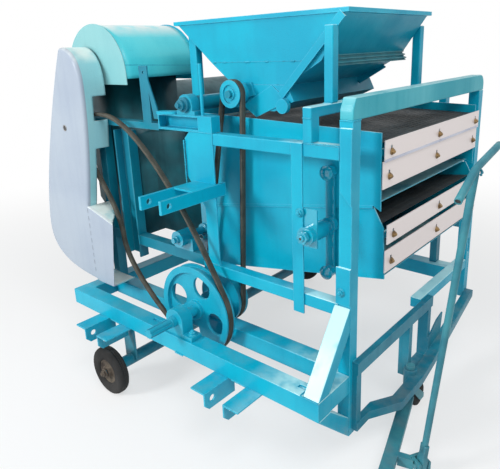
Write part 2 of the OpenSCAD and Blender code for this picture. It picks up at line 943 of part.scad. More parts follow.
module guard() {
    color(guard_grey)
        difference() {
            plate_xz(guard_outline(0), guard_y, guard_y + guard_d);
            plate_xz(guard_outline(sheet_t), guard_y + sheet_t, guard_y + guard_d + 1);
            bar_y(fan_x, fan_z, guard_y - 1, guard_y + sheet_t + 1, hole_r);
            block(guard_right - 40, guard_right + 10, guard_y + guard_d - notch_deep,
                guard_y + guard_d + 1, 1075, 1175);
            block(guard_right - 60, guard_right, guard_y + guard_d - notch_deep,
                guard_y + guard_d + 1, 850, 965);
            block(guard_right - 60, guard_right, guard_y + guard_d - notch_deep,
                guard_y + guard_d + 1, box_left_z + sheet_t, 852);
            translate([0, 0, box_bottom + sheet_t])
                linear_extrude(box_left_z - box_bottom)
                    polygon([[guard_box_right + 42, guard_y + sheet_t],
                        [guard_right - 11, guard_y + guard_d + 1],
                        [guard_box_right + 60, guard_y + guard_d + 1]]);
            block(guard_box_right - 20, guard_box_right + 60, guard_y + sheet_t,
                guard_y + guard_d + 1, box_bottom + sheet_t + 4, box_top - 60);
        }
}

// Fan casing with its duct to the shoes and its outlet into the hood

casing_r = 150;
neck_left = hood_x - hood_r + sheet_t;
neck_right = -505;
duct_right = -130;
duct_top = 1040;
chamber_top = 1010;
chamber_side_z = 700;
chamber_z = 578;
chamber_foot_x = -620;
chamber_right = -416;

module casing_shape(t, over) {
    bar_y(fan_x, fan_z, casing_front + t, casing_rear - t, casing_r - t);
    block(neck_left + t, neck_right - t, casing_front + t, hood_rear - sheet_t - t, fan_z,
        skirt_z + over);
    plate_xz([[neck_left + t, fan_z], [neck_left + t, chamber_side_z],
        [chamber_foot_x, chamber_z + t], [chamber_right - t, chamber_z + t],
        [chamber_right - t, chamber_top - t], [neck_right - t, fan_z]],
        casing_front + t, casing_rear - t);
    plate_xz([[chamber_right - 40, chamber_top - t], [duct_right + over, duct_top - t],
        [duct_right + over, chamber_z + 10 + t], [chamber_right - 40, chamber_z + 10 + t]],
        shoe_front + 20 + t, shoe_rear - 20 - t);
}

module fan_casing() {
    color(deep_teal)
        difference() {
            casing_shape(0, 0);
            casing_shape(sheet_t, 5);
            bar_y(fan_x, fan_z, casing_front - 1, casing_rear + 1, small_shaft_r + 2);
        }
}

// Belts: a slack one from the large pulley to the fan and a straight one to the feed roller

groove_r_big = big_r - belt_sink;
groove_r_fan = fan_pulley_r - belt_sink;
groove_r_drum = drum_r - belt_sink;
groove_r_feed = feed_pulley_r - belt_sink;

leave_fan = 229;
reach_big = 243;

function loop_point(x, z, r, a) = [x + r * cos(a), z + r * sin(a)];
function fan_loop(t) = concat(
    arc(0, pto_z, groove_r_big + t, reach_big, 390, 22),
    bezier(loop_point(0, pto_z, groove_r_big + t, 30),
        [-10 + t * 0.8, 760 + t * 0.7], [-260, fan_z + groove_r_fan + t],
        [fan_x + 176, fan_z + groove_r_fan + t], 14),
    arc(fan_x, fan_z, groove_r_fan + t, 90, leave_fan, 12),
    bezier(loop_point(fan_x, fan_z, groove_r_fan + t, leave_fan),
        [fan_x + 55 - t * 0.7, fan_z - 146 - t * 0.7], [-440 - t, 760], [-415 - t, 620], 12),
    bezier([-415 - t, 612], [-410 - t, 480 - t * 0.3], [-207 - t * 0.45, 326 - t * 0.9],
        loop_point(0, pto_z, groove_r_big + t, reach_big), 12));

module belt_fan() {
    color(belt_brown)
        difference() {
            plate_xz(fan_loop(belt_t), fan_belt_y - belt_w / 2, fan_belt_y + belt_w / 2);
            plate_xz(fan_loop(0.4), fan_belt_y - belt_w, fan_belt_y + belt_w);
        }
}

function tangent_angle(r0, r1, dx, dz) =
    atan2(dz, dx) - acos((r0 - r1) / sqrt(dx * dx + dz * dz));
function tangent_angle_left(r0, r1, dx, dz) =
    atan2(dz, dx) + acos((r0 - r1) / sqrt(dx * dx + dz * dz));

feed_dx = feed_x;
feed_dz = feed_z - pto_z;
belt_right = tangent_angle(groove_r_drum, groove_r_feed, feed_dx, feed_dz);
belt_left = tangent_angle_left(groove_r_drum, groove_r_feed, feed_dx, feed_dz);

function feed_loop(t) = concat(
    arc(0, pto_z, groove_r_drum + t, belt_left, belt_right + 360, 26),
    arc(feed_x, feed_z, groove_r_feed + t, belt_right, belt_left, 18));

module belt_feed() {
    color(belt_brown)
        difference() {
            plate_xz(feed_loop(belt_t), feed_belt_y - belt_w / 2, feed_belt_y + belt_w / 2);
            plate_xz(feed_loop(0.4), feed_belt_y - belt_w, feed_belt_y + belt_w);
        }
}

// Pulley with a belt groove: outer radius, groove radius, faces and bore

groove_side = 1.5;

module pulley(x, z, y0, y1, yc, r, r_groove, r_bore) {
    half = belt_w / 2 + groove_side;
    difference() {
        bar_y(x, z, y0, y1, r);
        difference() {
            bar_y(x, z, yc - half, yc + half, r + 1);
            bar_y(x, z, yc - half - 1, yc + half + 1, r_groove);
        }
        bar_y(x, z, y0 - 1, y1 + 1, r_bore);
    }
}

// Rotating drive shaft with its splined end

spline_len = 96;
spline_depth = 3;
spline_w = 6;

module pto_shaft() {
    color(teal) {
        bar_y(0, pto_z, spline_len - pto_reach, 312, pto_r);
        difference() {
            bar_y(0, pto_z, -pto_reach, spline_len - pto_reach, spline_r);
            for (i = [0:spline_count - 1])
                translate([0, 0, pto_z])
                    rotate([0, i * 360 / spline_count, 0])
                        block(-spline_w / 2, spline_w / 2, -pto_reach - 1,
                            spline_len - pto_reach - 8, spline_r - spline_depth, spline_r + 2);
        }
    }
}

big_y0 = fan_belt_y - big_w / 2;
big_y1 = fan_belt_y + big_w / 2;
window_r = 42;
window_at = 100;
web_t = 12;

module big_pulley() {
    color(teal)
        difference() {
            union() {
                pulley(0, pto_z, big_y0, big_y1, fan_belt_y, big_r, groove_r_big, pto_r + run_gap);
            }
            difference() {
                union() {
                    bar_y(0, pto_z, big_y0 - 1, fan_belt_y - web_t / 2, groove_r_big - 14);
                    bar_y(0, pto_z, fan_belt_y + web_t / 2, big_y1 + 1, groove_r_big - 14);
                }
                bar_y(0, pto_z, big_y0 - 2, big_y1 + 2, pto_r + 17);
            }
            for (a = [0, 90, 180, 270])
                translate([0, 0, pto_z])
                    rotate([0, a + 20, 0])
                        bar_y(0, window_at, big_y0, big_y1, window_r);
        }
}

drum_y0 = 245;
drum_y1 = 296;

module drum_pulley() {
    color(deep_teal)
        difference() {
            pulley(0, pto_z, drum_y0, drum_y1, feed_belt_y, drum_r, groove_r_drum,
                pto_r + run_gap);
            difference() {
                bar_y(0, pto_z, drum_y1 - 9, drum_y1 + 1, drum_r - 20);
                bar_y(0, pto_z, drum_y1 - 10, drum_y1 + 2, pto_r + 17);
            }
        }
}

// Fan rotor: shaft, hub discs and straight blades

blade_r = 128;
blade_count = 6;

module fan_rotor() {
    color(deep_teal) {
        bar_y(fan_x, fan_z, 98, casing_rear + 30, small_shaft_r);
        for (y = [casing_front + 40, mid_y, casing_rear - 48])
            bar_y(fan_x, fan_z, y, y + 6, 60);
        for (i = [0:blade_count - 1])
            translate([fan_x, 0, fan_z])
                rotate([0, i * 360 / blade_count, 0])
                    block(40, blade_r, casing_front + 30, casing_rear - 30, -2, 2);
    }
}

module fan_pulley() {
    color(teal)
        pulley(fan_x, fan_z, fan_belt_y - 19, fan_belt_y + 19, fan_belt_y, fan_pulley_r,
            groove_r_fan, small_shaft_r + run_gap);
}

module feed_roller() {
    color(deep_teal)
        difference() {
            union() {
                bar_y(feed_x, feed_z, 242, throat_rear + 34, small_shaft_r);
                bar_y(feed_x, feed_z, throat_front + 8, throat_rear - 8, feed_roller_r);
            }
            for (a = [0:60:300])
                translate([feed_x, 0, feed_z])
                    rotate([0, a, 0])
                        block(-4, 4, throat_front + 4, throat_rear - 4, feed_roller_r - 7,
                            feed_roller_r + 4);
        }
}

module feed_pulley() {
    color(teal)
        difference() {
            union() {
                pulley(feed_x, feed_z, feed_belt_y - 17, feed_belt_y + 17, feed_belt_y,
                    feed_pulley_r, groove_r_feed, small_shaft_r + run_gap);
            }
            difference() {
                bar_y(feed_x, feed_z, feed_belt_y - 18, feed_belt_y - 11, groove_r_feed - 5);
                bar_y(feed_x, feed_z, feed_belt_y - 19, feed_belt_y - 10, small_shaft_r + 8);
            }
        }
}

// Damper tube on the top channel, with a round cap and a lever inside the rear end

module damper_tube() {
    color(teal) {
        bar_y(damper_x, damper_z, front_y - 10, 520, damper_r);
        bar_y(damper_x, damper_z, front_y - 24, front_y - 10, 18);
        bar_y(damper_x, damper_z, front_y - 36, front_y - 24, 9);
    }
}

// Rockers: a pivot pin with a nut and an arm beside the shoe, near and far

arm_gap = 3;
arm_t = 10;
arm_y1 = shoe_front - arm_gap;
arm_y0 = arm_y1 - arm_t;
up_arm_right = 173;
low_arm_right = 160;
up_arm_left = 114;
low_arm_left = up_arm_left * low_arm_right / up_arm_right;
boss_r = 20;

module rocker_half(x, z, up, low, y_pin, boss_len) {
    hull() {
        bar_y(x, z + up, arm_y0, arm_y1, 15);
        bar_y(x, z - low, arm_y0, arm_y1, 15);
    }
    bar_y(x, z, y_pin, arm_y0, rocker_pin_r);
    bar_y(x, z, arm_y0 - 12, arm_y1, 26);
    if (boss_len > 0) {
        bar_y(x, z + up, arm_y0 - boss_len, arm_y1, boss_r);
        bar_y(x, z - low, arm_y0 - boss_len, arm_y1, boss_r);
    }
}

far_pin_start = 2 * mid_y - rear_y;

module rocker_right() {
    color(teal) {
        rocker_half(right_pivot_x, right_pivot_z, up_arm_right, low_arm_right, house_y0 - 6, 24);
        hex_y(right_pivot_x, right_pivot_z, house_y0 - 18, house_y0 - 6, 20);
        rear_copy()
            rocker_half(right_pivot_x, right_pivot_z, up_arm_right, low_arm_right, far_pin_start, 24);
    }
}

module rocker_left() {
    color(teal) {
        rocker_half(left_pivot_x, left_pivot_z, up_arm_left, low_arm_left, front_y - 40, 0);
        bar_y(left_pivot_x, left_pivot_z, front_y - 52, front_y - 40, 11);
        rear_copy()
            rocker_half(left_pivot_x, left_pivot_z, up_arm_left, low_arm_left, far_pin_start, 0);
    }
}

// Upper shoe: two side plates, a left end sheet and a sloping pan

seam_left_z = shoe_seam - seam_rise;
upper_gap = 7;
lower_inset = 6;
top_left_z = shoe_top + 24;
upper_rail_x = shoe_right - 4;
lower_rail_x = shoe_right + 8;
upper_points = [[shoe_left, top_left_z], [shoe_right - 4, shoe_top], [shoe_right, 850],
    [shoe_right - 25, shoe_seam + upper_gap], [shoe_left, seam_left_z + upper_gap]];
lower_points = [[shoe_left, seam_left_z], [shoe_right - 25, shoe_seam], [shoe_right + 8, 796],
    [shoe_right + 15, shoe_bottom], [shoe_right - 70, shoe_bottom - 15],
    [shoe_left, shoe_bottom - 131]];

// Sheet between two points of an outline, of a given thickness, over the whole width
module sheet_between(a, b, t, y0, y1) {
    plate_xz([a, b, b + [0, t], a + [0, t]], y0, y1);
}

module upper_shoe() {
    y0 = shoe_front + side_t;
    y1 = shoe_rear - side_t;
    color(teal) {
        plate_xz(upper_points, shoe_front, y0);
        plate_xz(upper_points, y1, shoe_rear);
        block(shoe_left, shoe_left + sheet_t, y0, y1, seam_left_z + upper_gap, top_left_z - 30);
        sheet_between([shoe_left, seam_left_z + upper_gap], [shoe_right - 25, shoe_seam + upper_gap],
            sheet_t, y0, y1);
        bar_y_rod(y0, y1, shoe_right - 40, 905);
        for (i = [0, 1])
            end_rail(i, upper_rail_x, y0, y1);
    }
}

module bar_y_rod(y0, y1, x, z) {
    bar_y(x, z, y0, y1, 6);
}

deck_slope = 24;

module deck(z_right, x0, x1, y0, y1) {
    sheet_between([x0, z_right + deck_slope], [x1, z_right], sieve_t, y0, y1);
}

upper_deck_z = 1046;
lower_deck_z = 795;

module upper_sieve() {
    color(dark_sieve)
        deck(upper_deck_z, shoe_left + sheet_t + 2, shoe_right - board_t - 8,
            shoe_front + side_t, shoe_rear - side_t);
}

module lower_shoe() {
    y0 = shoe_front + lower_inset + side_t;
    y1 = shoe_rear - lower_inset - side_t;
    color(teal) {
        plate_xz(lower_points, shoe_front + lower_inset, y0);
        plate_xz(lower_points, y1, shoe_rear - lower_inset);
        block(shoe_left, shoe_left + sheet_t, y0, y1, shoe_bottom - 131, seam_left_z);
        sheet_between([shoe_left, shoe_bottom - 131], [shoe_right - 70, shoe_bottom - 15],
            sheet_t, y0, y1);
        sheet_between([shoe_right - 70, shoe_bottom - 15], [shoe_right, shoe_bottom - 2.6],
            sheet_t, y0, y1);
        for (i = [2, 3])
            end_rail(i, lower_rail_x, y0, y1);
    }
}

module lower_sieve() {
    color(dark_sieve)
        sheet_between([shoe_left + sheet_t + 2, lower_deck_z - 80],
            [shoe_right - board_t - 8, lower_deck_z], sieve_t,
            shoe_front + lower_inset + side_t, shoe_rear - lower_inset - side_t);
}

// End boards: each lies on the end of its shoe, with three slots for its bolts

board_z = [[1003, 1064], [917, 1001], [749, 811], [655, 728]];
lower_out = 16;
board_lap = board_t + 1;
slot_r = board_bolt_r + 1;
bolt_ys = [shoe_front + 40, mid_y, shoe_rear - 40];

board_xs = [shoe_right + 1 + board_lap, shoe_right + 1, shoe_right + lower_out + board_lap,
    shoe_right + lower_out];
rail_t = 8;
rail_h = 20;
head_gap = 0.5;
head_t = 6;

function bolt_z(i) = (board_z[i][0] + board_z[i][1]) / 2 - board_drop / 2;

// Rail behind a board, into which its bolts are screwed
module end_rail(i, x1, y0, y1) {
    block(x1 - rail_t, x1, y0, y1, bolt_z(i) - rail_h / 2, bolt_z(i) + rail_h / 2);
}

module board_bolts(i, x0) {
    head_x = board_xs[i] + board_t + head_gap;
    color(brass)
        for (y = bolt_ys) {
            bar_x(y, bolt_z(i), x0, head_x, board_bolt_r);
            hex_x(y, bolt_z(i), head_x, head_x + head_t, 2 * board_bolt_r);
        }
}

module upper_bolts() {
    for (i = [0, 1])
        board_bolts(i, upper_rail_x);
}

module lower_bolts() {
    for (i = [2, 3])
        board_bolts(i, lower_rail_x);
}

module board(i) {
    board_x = board_xs[i];
    z0 = board_z[i][0];
    z1 = board_z[i][1];
    bz = bolt_z(i);
    color(pale_metal)
        difference() {
            block(board_x, board_x + board_t, shoe_front, shoe_rear, z0, z1);
            for (y = bolt_ys)
                block(board_x - 1, board_x + board_t + 1, y - slot_r, y + slot_r,
                    bz - slot_r, bz + board_drop + slot_r);
        }
}

module board_1() {
    board(0);
}

module board_2() {
    board(1);
}

module board_3() {
    board(2);
}

module board_4() {
    board(3);
}

// Transport axle at the left, with its hangers under the beams

wheel_near_y = -90;
wheel_far_y = frame_depth + 45;
hanger_w = 70;
hanger_t = 10;

module axle_tube() {
    color(deep_teal) {
        bar_y(axle_x, wheel_r, wheel_near_y + wheel_w + 5, wheel_far_y - 5, axle_tube_r);
        bar_y(axle_x, wheel_r, wheel_near_y - 12, wheel_near_y + wheel_w + 5, axle_pin_r);
        bar_y(axle_x, wheel_r, wheel_far_y - 5, wheel_far_y + wheel_w + 12, axle_pin_r);
        for (y = [lug_rear + 5, frame_depth - base_tube / 2])
            block(axle_x - hanger_w / 2, axle_x + hanger_w / 2, y, y + hanger_t, wheel_r, base_z);
    }
}

module wheel(y0) {
    color(rubber)
        difference() {
            union() {
                bar_y(axle_x, wheel_r, y0 + 4, y0 + wheel_w - 4, wheel_r);
                bar_y(axle_x, wheel_r, y0, y0 + wheel_w, wheel_r - 8);
            }
            difference() {
                bar_y(axle_x, wheel_r, y0 - 1, y0 + 8, wheel_r / 2);
                bar_y(axle_x, wheel_r, y0 - 2, y0 + 9, axle_pin_r + 9);
            }
            difference() {
                bar_y(axle_x, wheel_r, y0 + wheel_w - 8, y0 + wheel_w + 1, wheel_r / 2);
                bar_y(axle_x, wheel_r, y0 + wheel_w - 9, y0 + wheel_w + 2, axle_pin_r + 9);
            }
            bar_y(axle_x, wheel_r, y0 - 3, y0 + wheel_w + 3, axle_pin_r + run_gap);
        }
}

module wheel_near() {
    wheel(wheel_near_y);
}

module wheel_far() {
    wheel(wheel_far_y);
}

// Tow frame: a bar and a leg on the end posts, bent lower tubes, two struts and the swivel boss

swivel_x = base_right + swivel_out;
boss_z0 = 112;
boss_z1 = 186;
tow_bar_t = 22;
tow_bar_z = 345;
tow_bar_h = 42;
tow_bar_y1 = 760;
leg_w = 27;
tow_z = 138;
tow_h = 30;
corner_x = base_right + 87;
corner_y = 373;
bend_x = base_right + 70;
bend_y = 690;
strut_y1 = 555;
strut_y2 = 720;
strut_t = 25;
strut_w = 40;
gusset_run = 110;
tow_y0 = front_y + rail_w - leg_w;
tow_x1 = base_right + tow_bar_t;

module tow_frame() {
    color(deep_teal)
        difference() {
            union() {
                tow_tubes();
                bar_z(swivel_x, swivel_y, boss_z0, boss_z1, swivel_r + 12);
                block(base_right, tow_x1, tow_y0, tow_bar_y1, tow_bar_z, tow_bar_z + tow_bar_h);
                block(base_right, tow_x1 - 4, tow_y0, tow_y0 + leg_w, tow_z, tow_bar_z);
                for (y = [strut_y1, strut_y2])
                    block(tow_x1 - strut_w, tow_x1, y, y + strut_t, tow_z, tow_bar_z);
                block(tow_x1 - strut_w, tow_x1 + tow_bar_t, strut_y1, strut_y2 + strut_t,
                    tow_z, tow_z + plate_t);
                plate_yz([[strut_y2, tow_z], [strut_y2, tow_z + 84],
                    [strut_y2 + 0.7 * gusset_run, tow_z + 130],
                    [strut_y2 + 1.2 * gusset_run, tow_z + 142],
                    [strut_y2 + gusset_run, tow_z]], tow_x1, tow_x1 + plate_t);
            }
            bar_z(swivel_x, swivel_y, boss_z0 - 1, boss_z1 + 1, swivel_r + run_gap);
        }
}

module tow_tubes() {
    translate([0, 0, tow_z])
        linear_extrude(tow_h)
            polygon([[base_right, tow_y0], [tow_x1, tow_y0], [tow_x1, tow_y0 + 75],
                [corner_x, corner_y], [corner_x - 3, strut_y1], [bend_x, bend_y],
                [bend_x - tow_tube, bend_y], [corner_x - 3 - tow_tube, strut_y1],
                [corner_x - tow_tube, corner_y + 12], [base_right, tow_y0 + 122]]);
    hull() {
        block(bend_x - tow_tube, bend_x, bend_y - 6, bend_y, tow_z, tow_z + tow_h);
        block(base_right, base_right + tow_tube - 10, rear_y, frame_depth - 10, far_post_z,
            far_post_z + tow_h);
    }
}

// Bolts of the bearings and of the splice

module frame_bolts() {
    color(teal) {
        for (y = [pto_front_y, pto_back_y])
            for (s = [-1, 1])
                translate([s * 68, y, base_top + foot_t])
                    cylinder(h = 12, r = 13, $fn = 6);
        hex_y(end_post_x + 12, splice_z + 40, front_y - plate_t - 9, front_y - plate_t, 11);
        hex_y(end_post_x + 15, base_top + 100, front_y - 8, front_y, 10);
        hex_y(right_pivot_x - house_r, right_pivot_z + 2.3 * house_r, front_y - plate_t - 8,
            front_y - plate_t, 10);
    }
}

// Caster: a forked swivel with a small wheel behind its pin

caster_y = swivel_y + caster_trail;
fork_in = caster_w / 2 + 3;
fork_t = 6;

module caster_fork() {
    color(deep_teal) {
        bar_z(swivel_x, swivel_y, boss_z0 - 6, boss_z1 + 2, swivel_r);
        bar_z(swivel_x, swivel_y, boss_z1 + 2, boss_z1 + 14, swivel_r + 4);
        block(swivel_x - fork_in - fork_t, swivel_x + fork_in + fork_t, swivel_y - 24,
            swivel_y + 28, 2 * caster_r + 4, boss_z0 - 4);
        for (x = [swivel_x - fork_in - fork_t, swivel_x + fork_in])
            plate_yz([[swivel_y - 10, 2 * caster_r + 4], [swivel_y + 28, 2 * caster_r + 4],
                [caster_y + 14, caster_r + 6], [caster_y + 14, caster_r - 12],
                [caster_y - 14, caster_r - 12]], x, x + fork_t);
        bar_x(caster_y, caster_r, swivel_x - fork_in, swivel_x + fork_in, axle_pin_r - 2);
    }
}

module caster_wheel() {
    color(rubber)
        difference() {
            bar_x(caster_y, caster_r, swivel_x - caster_w / 2, swivel_x + caster_w / 2, caster_r);
            bar_x(caster_y, caster_r, swivel_x - caster_w, swivel_x + caster_w,
                axle_pin_r - 2 + run_gap);
        }
}

// Tongue from the fork to a cross plate with the clevis of the pole

tongue_angle = -75.5;
pull_angle = -30.5;
clevis_x = 834;
clevis_y = 270;
clevis_z = 54;
clevis_gap = 26;
ear_t = 8;
clevis_pin_r = 8;
tongue_z = 2 * caster_r + 4;
tongue_w = 44;
cross_along = 309;
cross_t = 12;
cross_out = 72;

module pull_frame() {
    translate([clevis_x, clevis_y, 0])
        rotate([0, 0, pull_angle])
            children();
}

module tow_tongue() {
    color(deep_teal) {
        translate([swivel_x, swivel_y, 0])
            rotate([0, 0, tongue_angle])
                union() {
                    plate_xz([[30, tongue_z], [cross_along, clevis_z + 14],
                        [tongue_len, clevis_z + 8], [tongue_len, clevis_z - 16],
                        [60, tongue_z - 24], [30, tongue_z - 12]],
                        -tongue_w / 2, tongue_w / 2);
                    block(cross_along - cross_t, cross_along + cross_t, tongue_w / 2,
                        cross_out, clevis_z - 20, clevis_z + 14);
                }
        pull_frame() {
            difference() {
                union() {
                    block(-30, -20, -clevis_gap, clevis_gap, clevis_z - 20, clevis_z + 20);
                    for (y = [-clevis_gap / 2 - ear_t, clevis_gap / 2])
                        block(-20, 18, y, y + ear_t, clevis_z - 18, clevis_z + 18);
                }
                bar_y(0, clevis_z, -60, 60, clevis_pin_r);
            }
            bar_y(0, clevis_z, -clevis_gap / 2 - ear_t - 6, clevis_gap / 2 + ear_t + 6,
                clevis_pin_r);
        }
    }
}

// Pull pole: an eye at the clevis, a flat foot, a round pole and a bent handle tube

pole_tilt = 7.5;
eye_t = 22;
foot_len = 60;
foot_half = 14;
handle_wall = 2.5;

module tube_between(p, q, r) {
    d = q - p;
    len = norm(d);
    translate(p)
        rotate([0, acos(d[2] / len), atan2(d[1], d[0])])
            difference() {
                cylinder(h = len, r = r);
                translate([0, 0, r + 2])
                    cylinder(h = len, r = r - handle_wall);
            }
}

pole_run = pole_len * sin(pole_tilt);
pole_top = [clevis_x + pole_run * cos(pull_angle), clevis_y + pole_run * sin(pull_angle),
    clevis_z + pole_len * cos(pole_tilt)];

module pull_pole() {
    color(deep_teal) {
        pull_frame()
            translate([0, 0, clevis_z])
                rotate([0, pole_tilt, 0]) {
                    difference() {
                        union() {
                            block(-foot_half, foot_half, -eye_t / 2, eye_t / 2, 0, foot_len);
                            bar_y(0, 0, -eye_t / 2, eye_t / 2, foot_half);
                        }
                        bar_y(0, 0, -eye_t, eye_t, clevis_pin_r + run_gap);
                    }
                    translate([0, 0, foot_len])
                        cylinder(h = pole_len - foot_len, r = pole_r);
                }
        tube_between(pole_top, pole_top + handle_front * [0, -0.69, -0.72], handle_r);
        tube_between(pole_top, pole_top + handle_rear * [0, 0.984, 0.18], handle_r);
    }
}

front_beam();
cross_beams();
left_member();
right_member();
lower_hitch();
top_link_bars();
main_post();
angle_post();
left_posts();
right_post();
far_post();
mid_rail();
left_rails();
upper_beam();
front_brace();
outer_hoop();
hopper_bearers();
rear_posts();
rear_rails();
top_channel();
pto_bearings();
shaft_bearings();
rocker_bearings();
hopper();
hopper_posts();
throat();
hood();
guard();
fan_casing();
belt_fan();
belt_feed();
axle_tube();
tow_frame();
frame_bolts();
pto_shaft();
big_pulley();
drum_pulley();
fan_rotor();
fan_pulley();
feed_roller();
feed_pulley();
damper_tube();
rocker_right();
rocker_left();
upper_shoe();
upper_sieve();
lower_shoe();
lower_sieve();
board_1();
board_2();
board_3();
board_4();
upper_bolts();
lower_bolts();
wheel_near();
wheel_far();
caster_fork();
caster_wheel();
tow_tongue();
pull_pole();
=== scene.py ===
"""Dressed model of a grain cleaning machine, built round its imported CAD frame."""
import json
import logging
import math
from dataclasses import dataclass
from enum import Enum
from typing import Iterable, Sequence

import bmesh
import bpy
import numpy as np
from mathutils import Matrix

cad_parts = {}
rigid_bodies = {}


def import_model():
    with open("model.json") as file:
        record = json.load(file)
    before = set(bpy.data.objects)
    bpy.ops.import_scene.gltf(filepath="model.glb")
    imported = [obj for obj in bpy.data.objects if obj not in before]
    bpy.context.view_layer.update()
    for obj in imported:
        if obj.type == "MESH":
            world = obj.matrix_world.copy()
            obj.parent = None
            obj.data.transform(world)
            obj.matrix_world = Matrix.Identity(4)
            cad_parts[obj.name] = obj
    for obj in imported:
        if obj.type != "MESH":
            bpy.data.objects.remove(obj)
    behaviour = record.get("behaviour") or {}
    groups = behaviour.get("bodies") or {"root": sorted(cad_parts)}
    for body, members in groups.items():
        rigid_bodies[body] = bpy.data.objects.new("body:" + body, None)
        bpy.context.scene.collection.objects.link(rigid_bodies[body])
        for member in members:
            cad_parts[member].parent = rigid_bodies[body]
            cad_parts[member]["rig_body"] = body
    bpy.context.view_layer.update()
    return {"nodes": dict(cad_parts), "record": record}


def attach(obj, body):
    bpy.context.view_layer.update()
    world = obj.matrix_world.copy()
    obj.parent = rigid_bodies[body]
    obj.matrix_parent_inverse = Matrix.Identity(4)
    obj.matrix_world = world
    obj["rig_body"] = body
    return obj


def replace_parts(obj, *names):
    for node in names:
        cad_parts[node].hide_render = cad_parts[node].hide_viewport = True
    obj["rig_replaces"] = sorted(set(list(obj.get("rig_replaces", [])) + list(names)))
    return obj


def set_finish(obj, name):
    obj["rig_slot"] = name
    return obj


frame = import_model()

MM = 0.001
AXIS_R = 0.01
EDGE_STEPS = 2
EDGE_ANGLE = math.radians(32.0)
FLAT_ANGLE = math.radians(0.6)
SAME_PLACE = 2e-6
LOG = logging.getLogger("grain_cleaner")
Point = tuple[float, float, float]
Colour = Point
Pairs = tuple[tuple[float, float], ...]
Array = np.ndarray
Piece = bpy.types.Object
Socket = bpy.types.NodeSocket


class Slot(Enum):
    """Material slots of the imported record."""

    TEAL = "teal_paint"
    GUARD = "guard_grey"
    BELT = "belt_rubber"
    WHEEL = "wheel_rubber"
    SIEVE = "sieve_steel"
    BOARD = "board_sheet"
    BRASS = "brass"


class Axis(Enum):
    """Axes that turned pieces stand on, as column numbers of a point."""

    X = 0
    Y = 1
    Z = 2


# Node sheets and shared groups

class NodeSheet:
    """Adds and links the nodes of one tree, from left to right."""

    def __init__(self, tree: bpy.types.NodeTree) -> None:
        """Take the tree that gets the nodes."""
        self.tree = tree
        self.column = 0

    def add(self, kind: str, inputs: dict[str | int, object] | None = None,
            **settings: object) -> bpy.types.Node:
        """Add a node.

        Args:
            kind: Blender's name of the node type.
            inputs: Socket or plain value of each input, by its name or number.
            settings: Values of the node's properties.

        Returns:
            The new node.
        """
        node = self.tree.nodes.new(kind)
        self.column += 1
        node.location = (180 * self.column, 0)
        for key, value in settings.items():
            setattr(node, key, value)
        for key, value in (inputs or {}).items():
            if isinstance(value, Socket):
                self.link(value, node.inputs[key])
            else:
                node.inputs[key].default_value = value
        return node

    def link(self, source: Socket, target: Socket) -> None:
        """Join two sockets."""
        self.tree.links.new(source, target)

    def place(self) -> Socket:
        """Add the coordinates of the object, in metres."""
        return self.add("ShaderNodeTexCoord").outputs["Object"]

    def math(self, operation: str, first: object, second: object = 0.0,
             clamp: bool = False) -> Socket:
        """Add a Math node whose inputs are sockets or numbers.

        Args:
            operation: Blender's name of the operation.
            first: First input.
            second: Second input.
            clamp: Whether the result is kept between 0 and 1.

        Returns:
            The output socket.
        """
        return self.add("ShaderNodeMath", {0: first, 1: second}, operation=operation,
                        use_clamp=clamp).outputs[0]

    def noise(self, vector: Socket, scale: object, detail: float = 3.0,
              rough: float = 0.55) -> Socket:
        """Add a Noise Texture and return its Factor output."""
        return self.add("ShaderNodeTexNoise", {"Vector": vector, "Scale": scale, "Detail": detail,
                                               "Roughness": rough}).outputs["Fac"]

    def streaks(self, vector: Socket, stretch: Point, detail: float, rough: float = 0.55) -> Socket:
        """Add noise drawn out along the axes by a scale for each."""
        mapping = self.add("ShaderNodeMapping", {"Vector": vector, "Scale": stretch})
        return self.noise(mapping.outputs["Vector"], 1.0, detail, rough)

    def ramp(self, value: Socket, low: float, high: float) -> Socket:
        """Map a value smoothly from low..high to 0..1."""
        return self.add("ShaderNodeMapRange", {"Value": value, "From Min": low, "From Max": high},
                        interpolation_type="SMOOTHSTEP").outputs["Result"]

    def mix(self, factor: object, first: object, second: object) -> Socket:
        """Mix two colours. Inputs 6 and 7 and output 2 of the node are those for colours.

        Args:
            factor: Socket or number.
            first: Socket or colour at factor 0.
            second: Socket or colour at factor 1.

        Returns:
            The colour socket.
        """
        first, second = (value if isinstance(value, Socket) else (*value, 1.0)
                         for value in (first, second))
        return self.add("ShaderNodeMix", {0: factor, 6: first, 7: second},
                        data_type="RGBA").outputs[2]

    def seen_by(self, *rays: str) -> Socket:
        """Add a value that is 1 for the named kinds of ray and 0 for the others."""
        path = self.add("ShaderNodeLightPath").outputs
        seen = path[f"Is {rays[0]} Ray"]
        for ray in rays[1:]:
            seen = self.math("ADD", seen, path[f"Is {ray} Ray"], True)
        return seen

    def output(self, shader: Socket, kind: str = "ShaderNodeOutputMaterial") -> None:
        """Add the output node and link the shader to it."""
        self.add(kind, {0: shader})


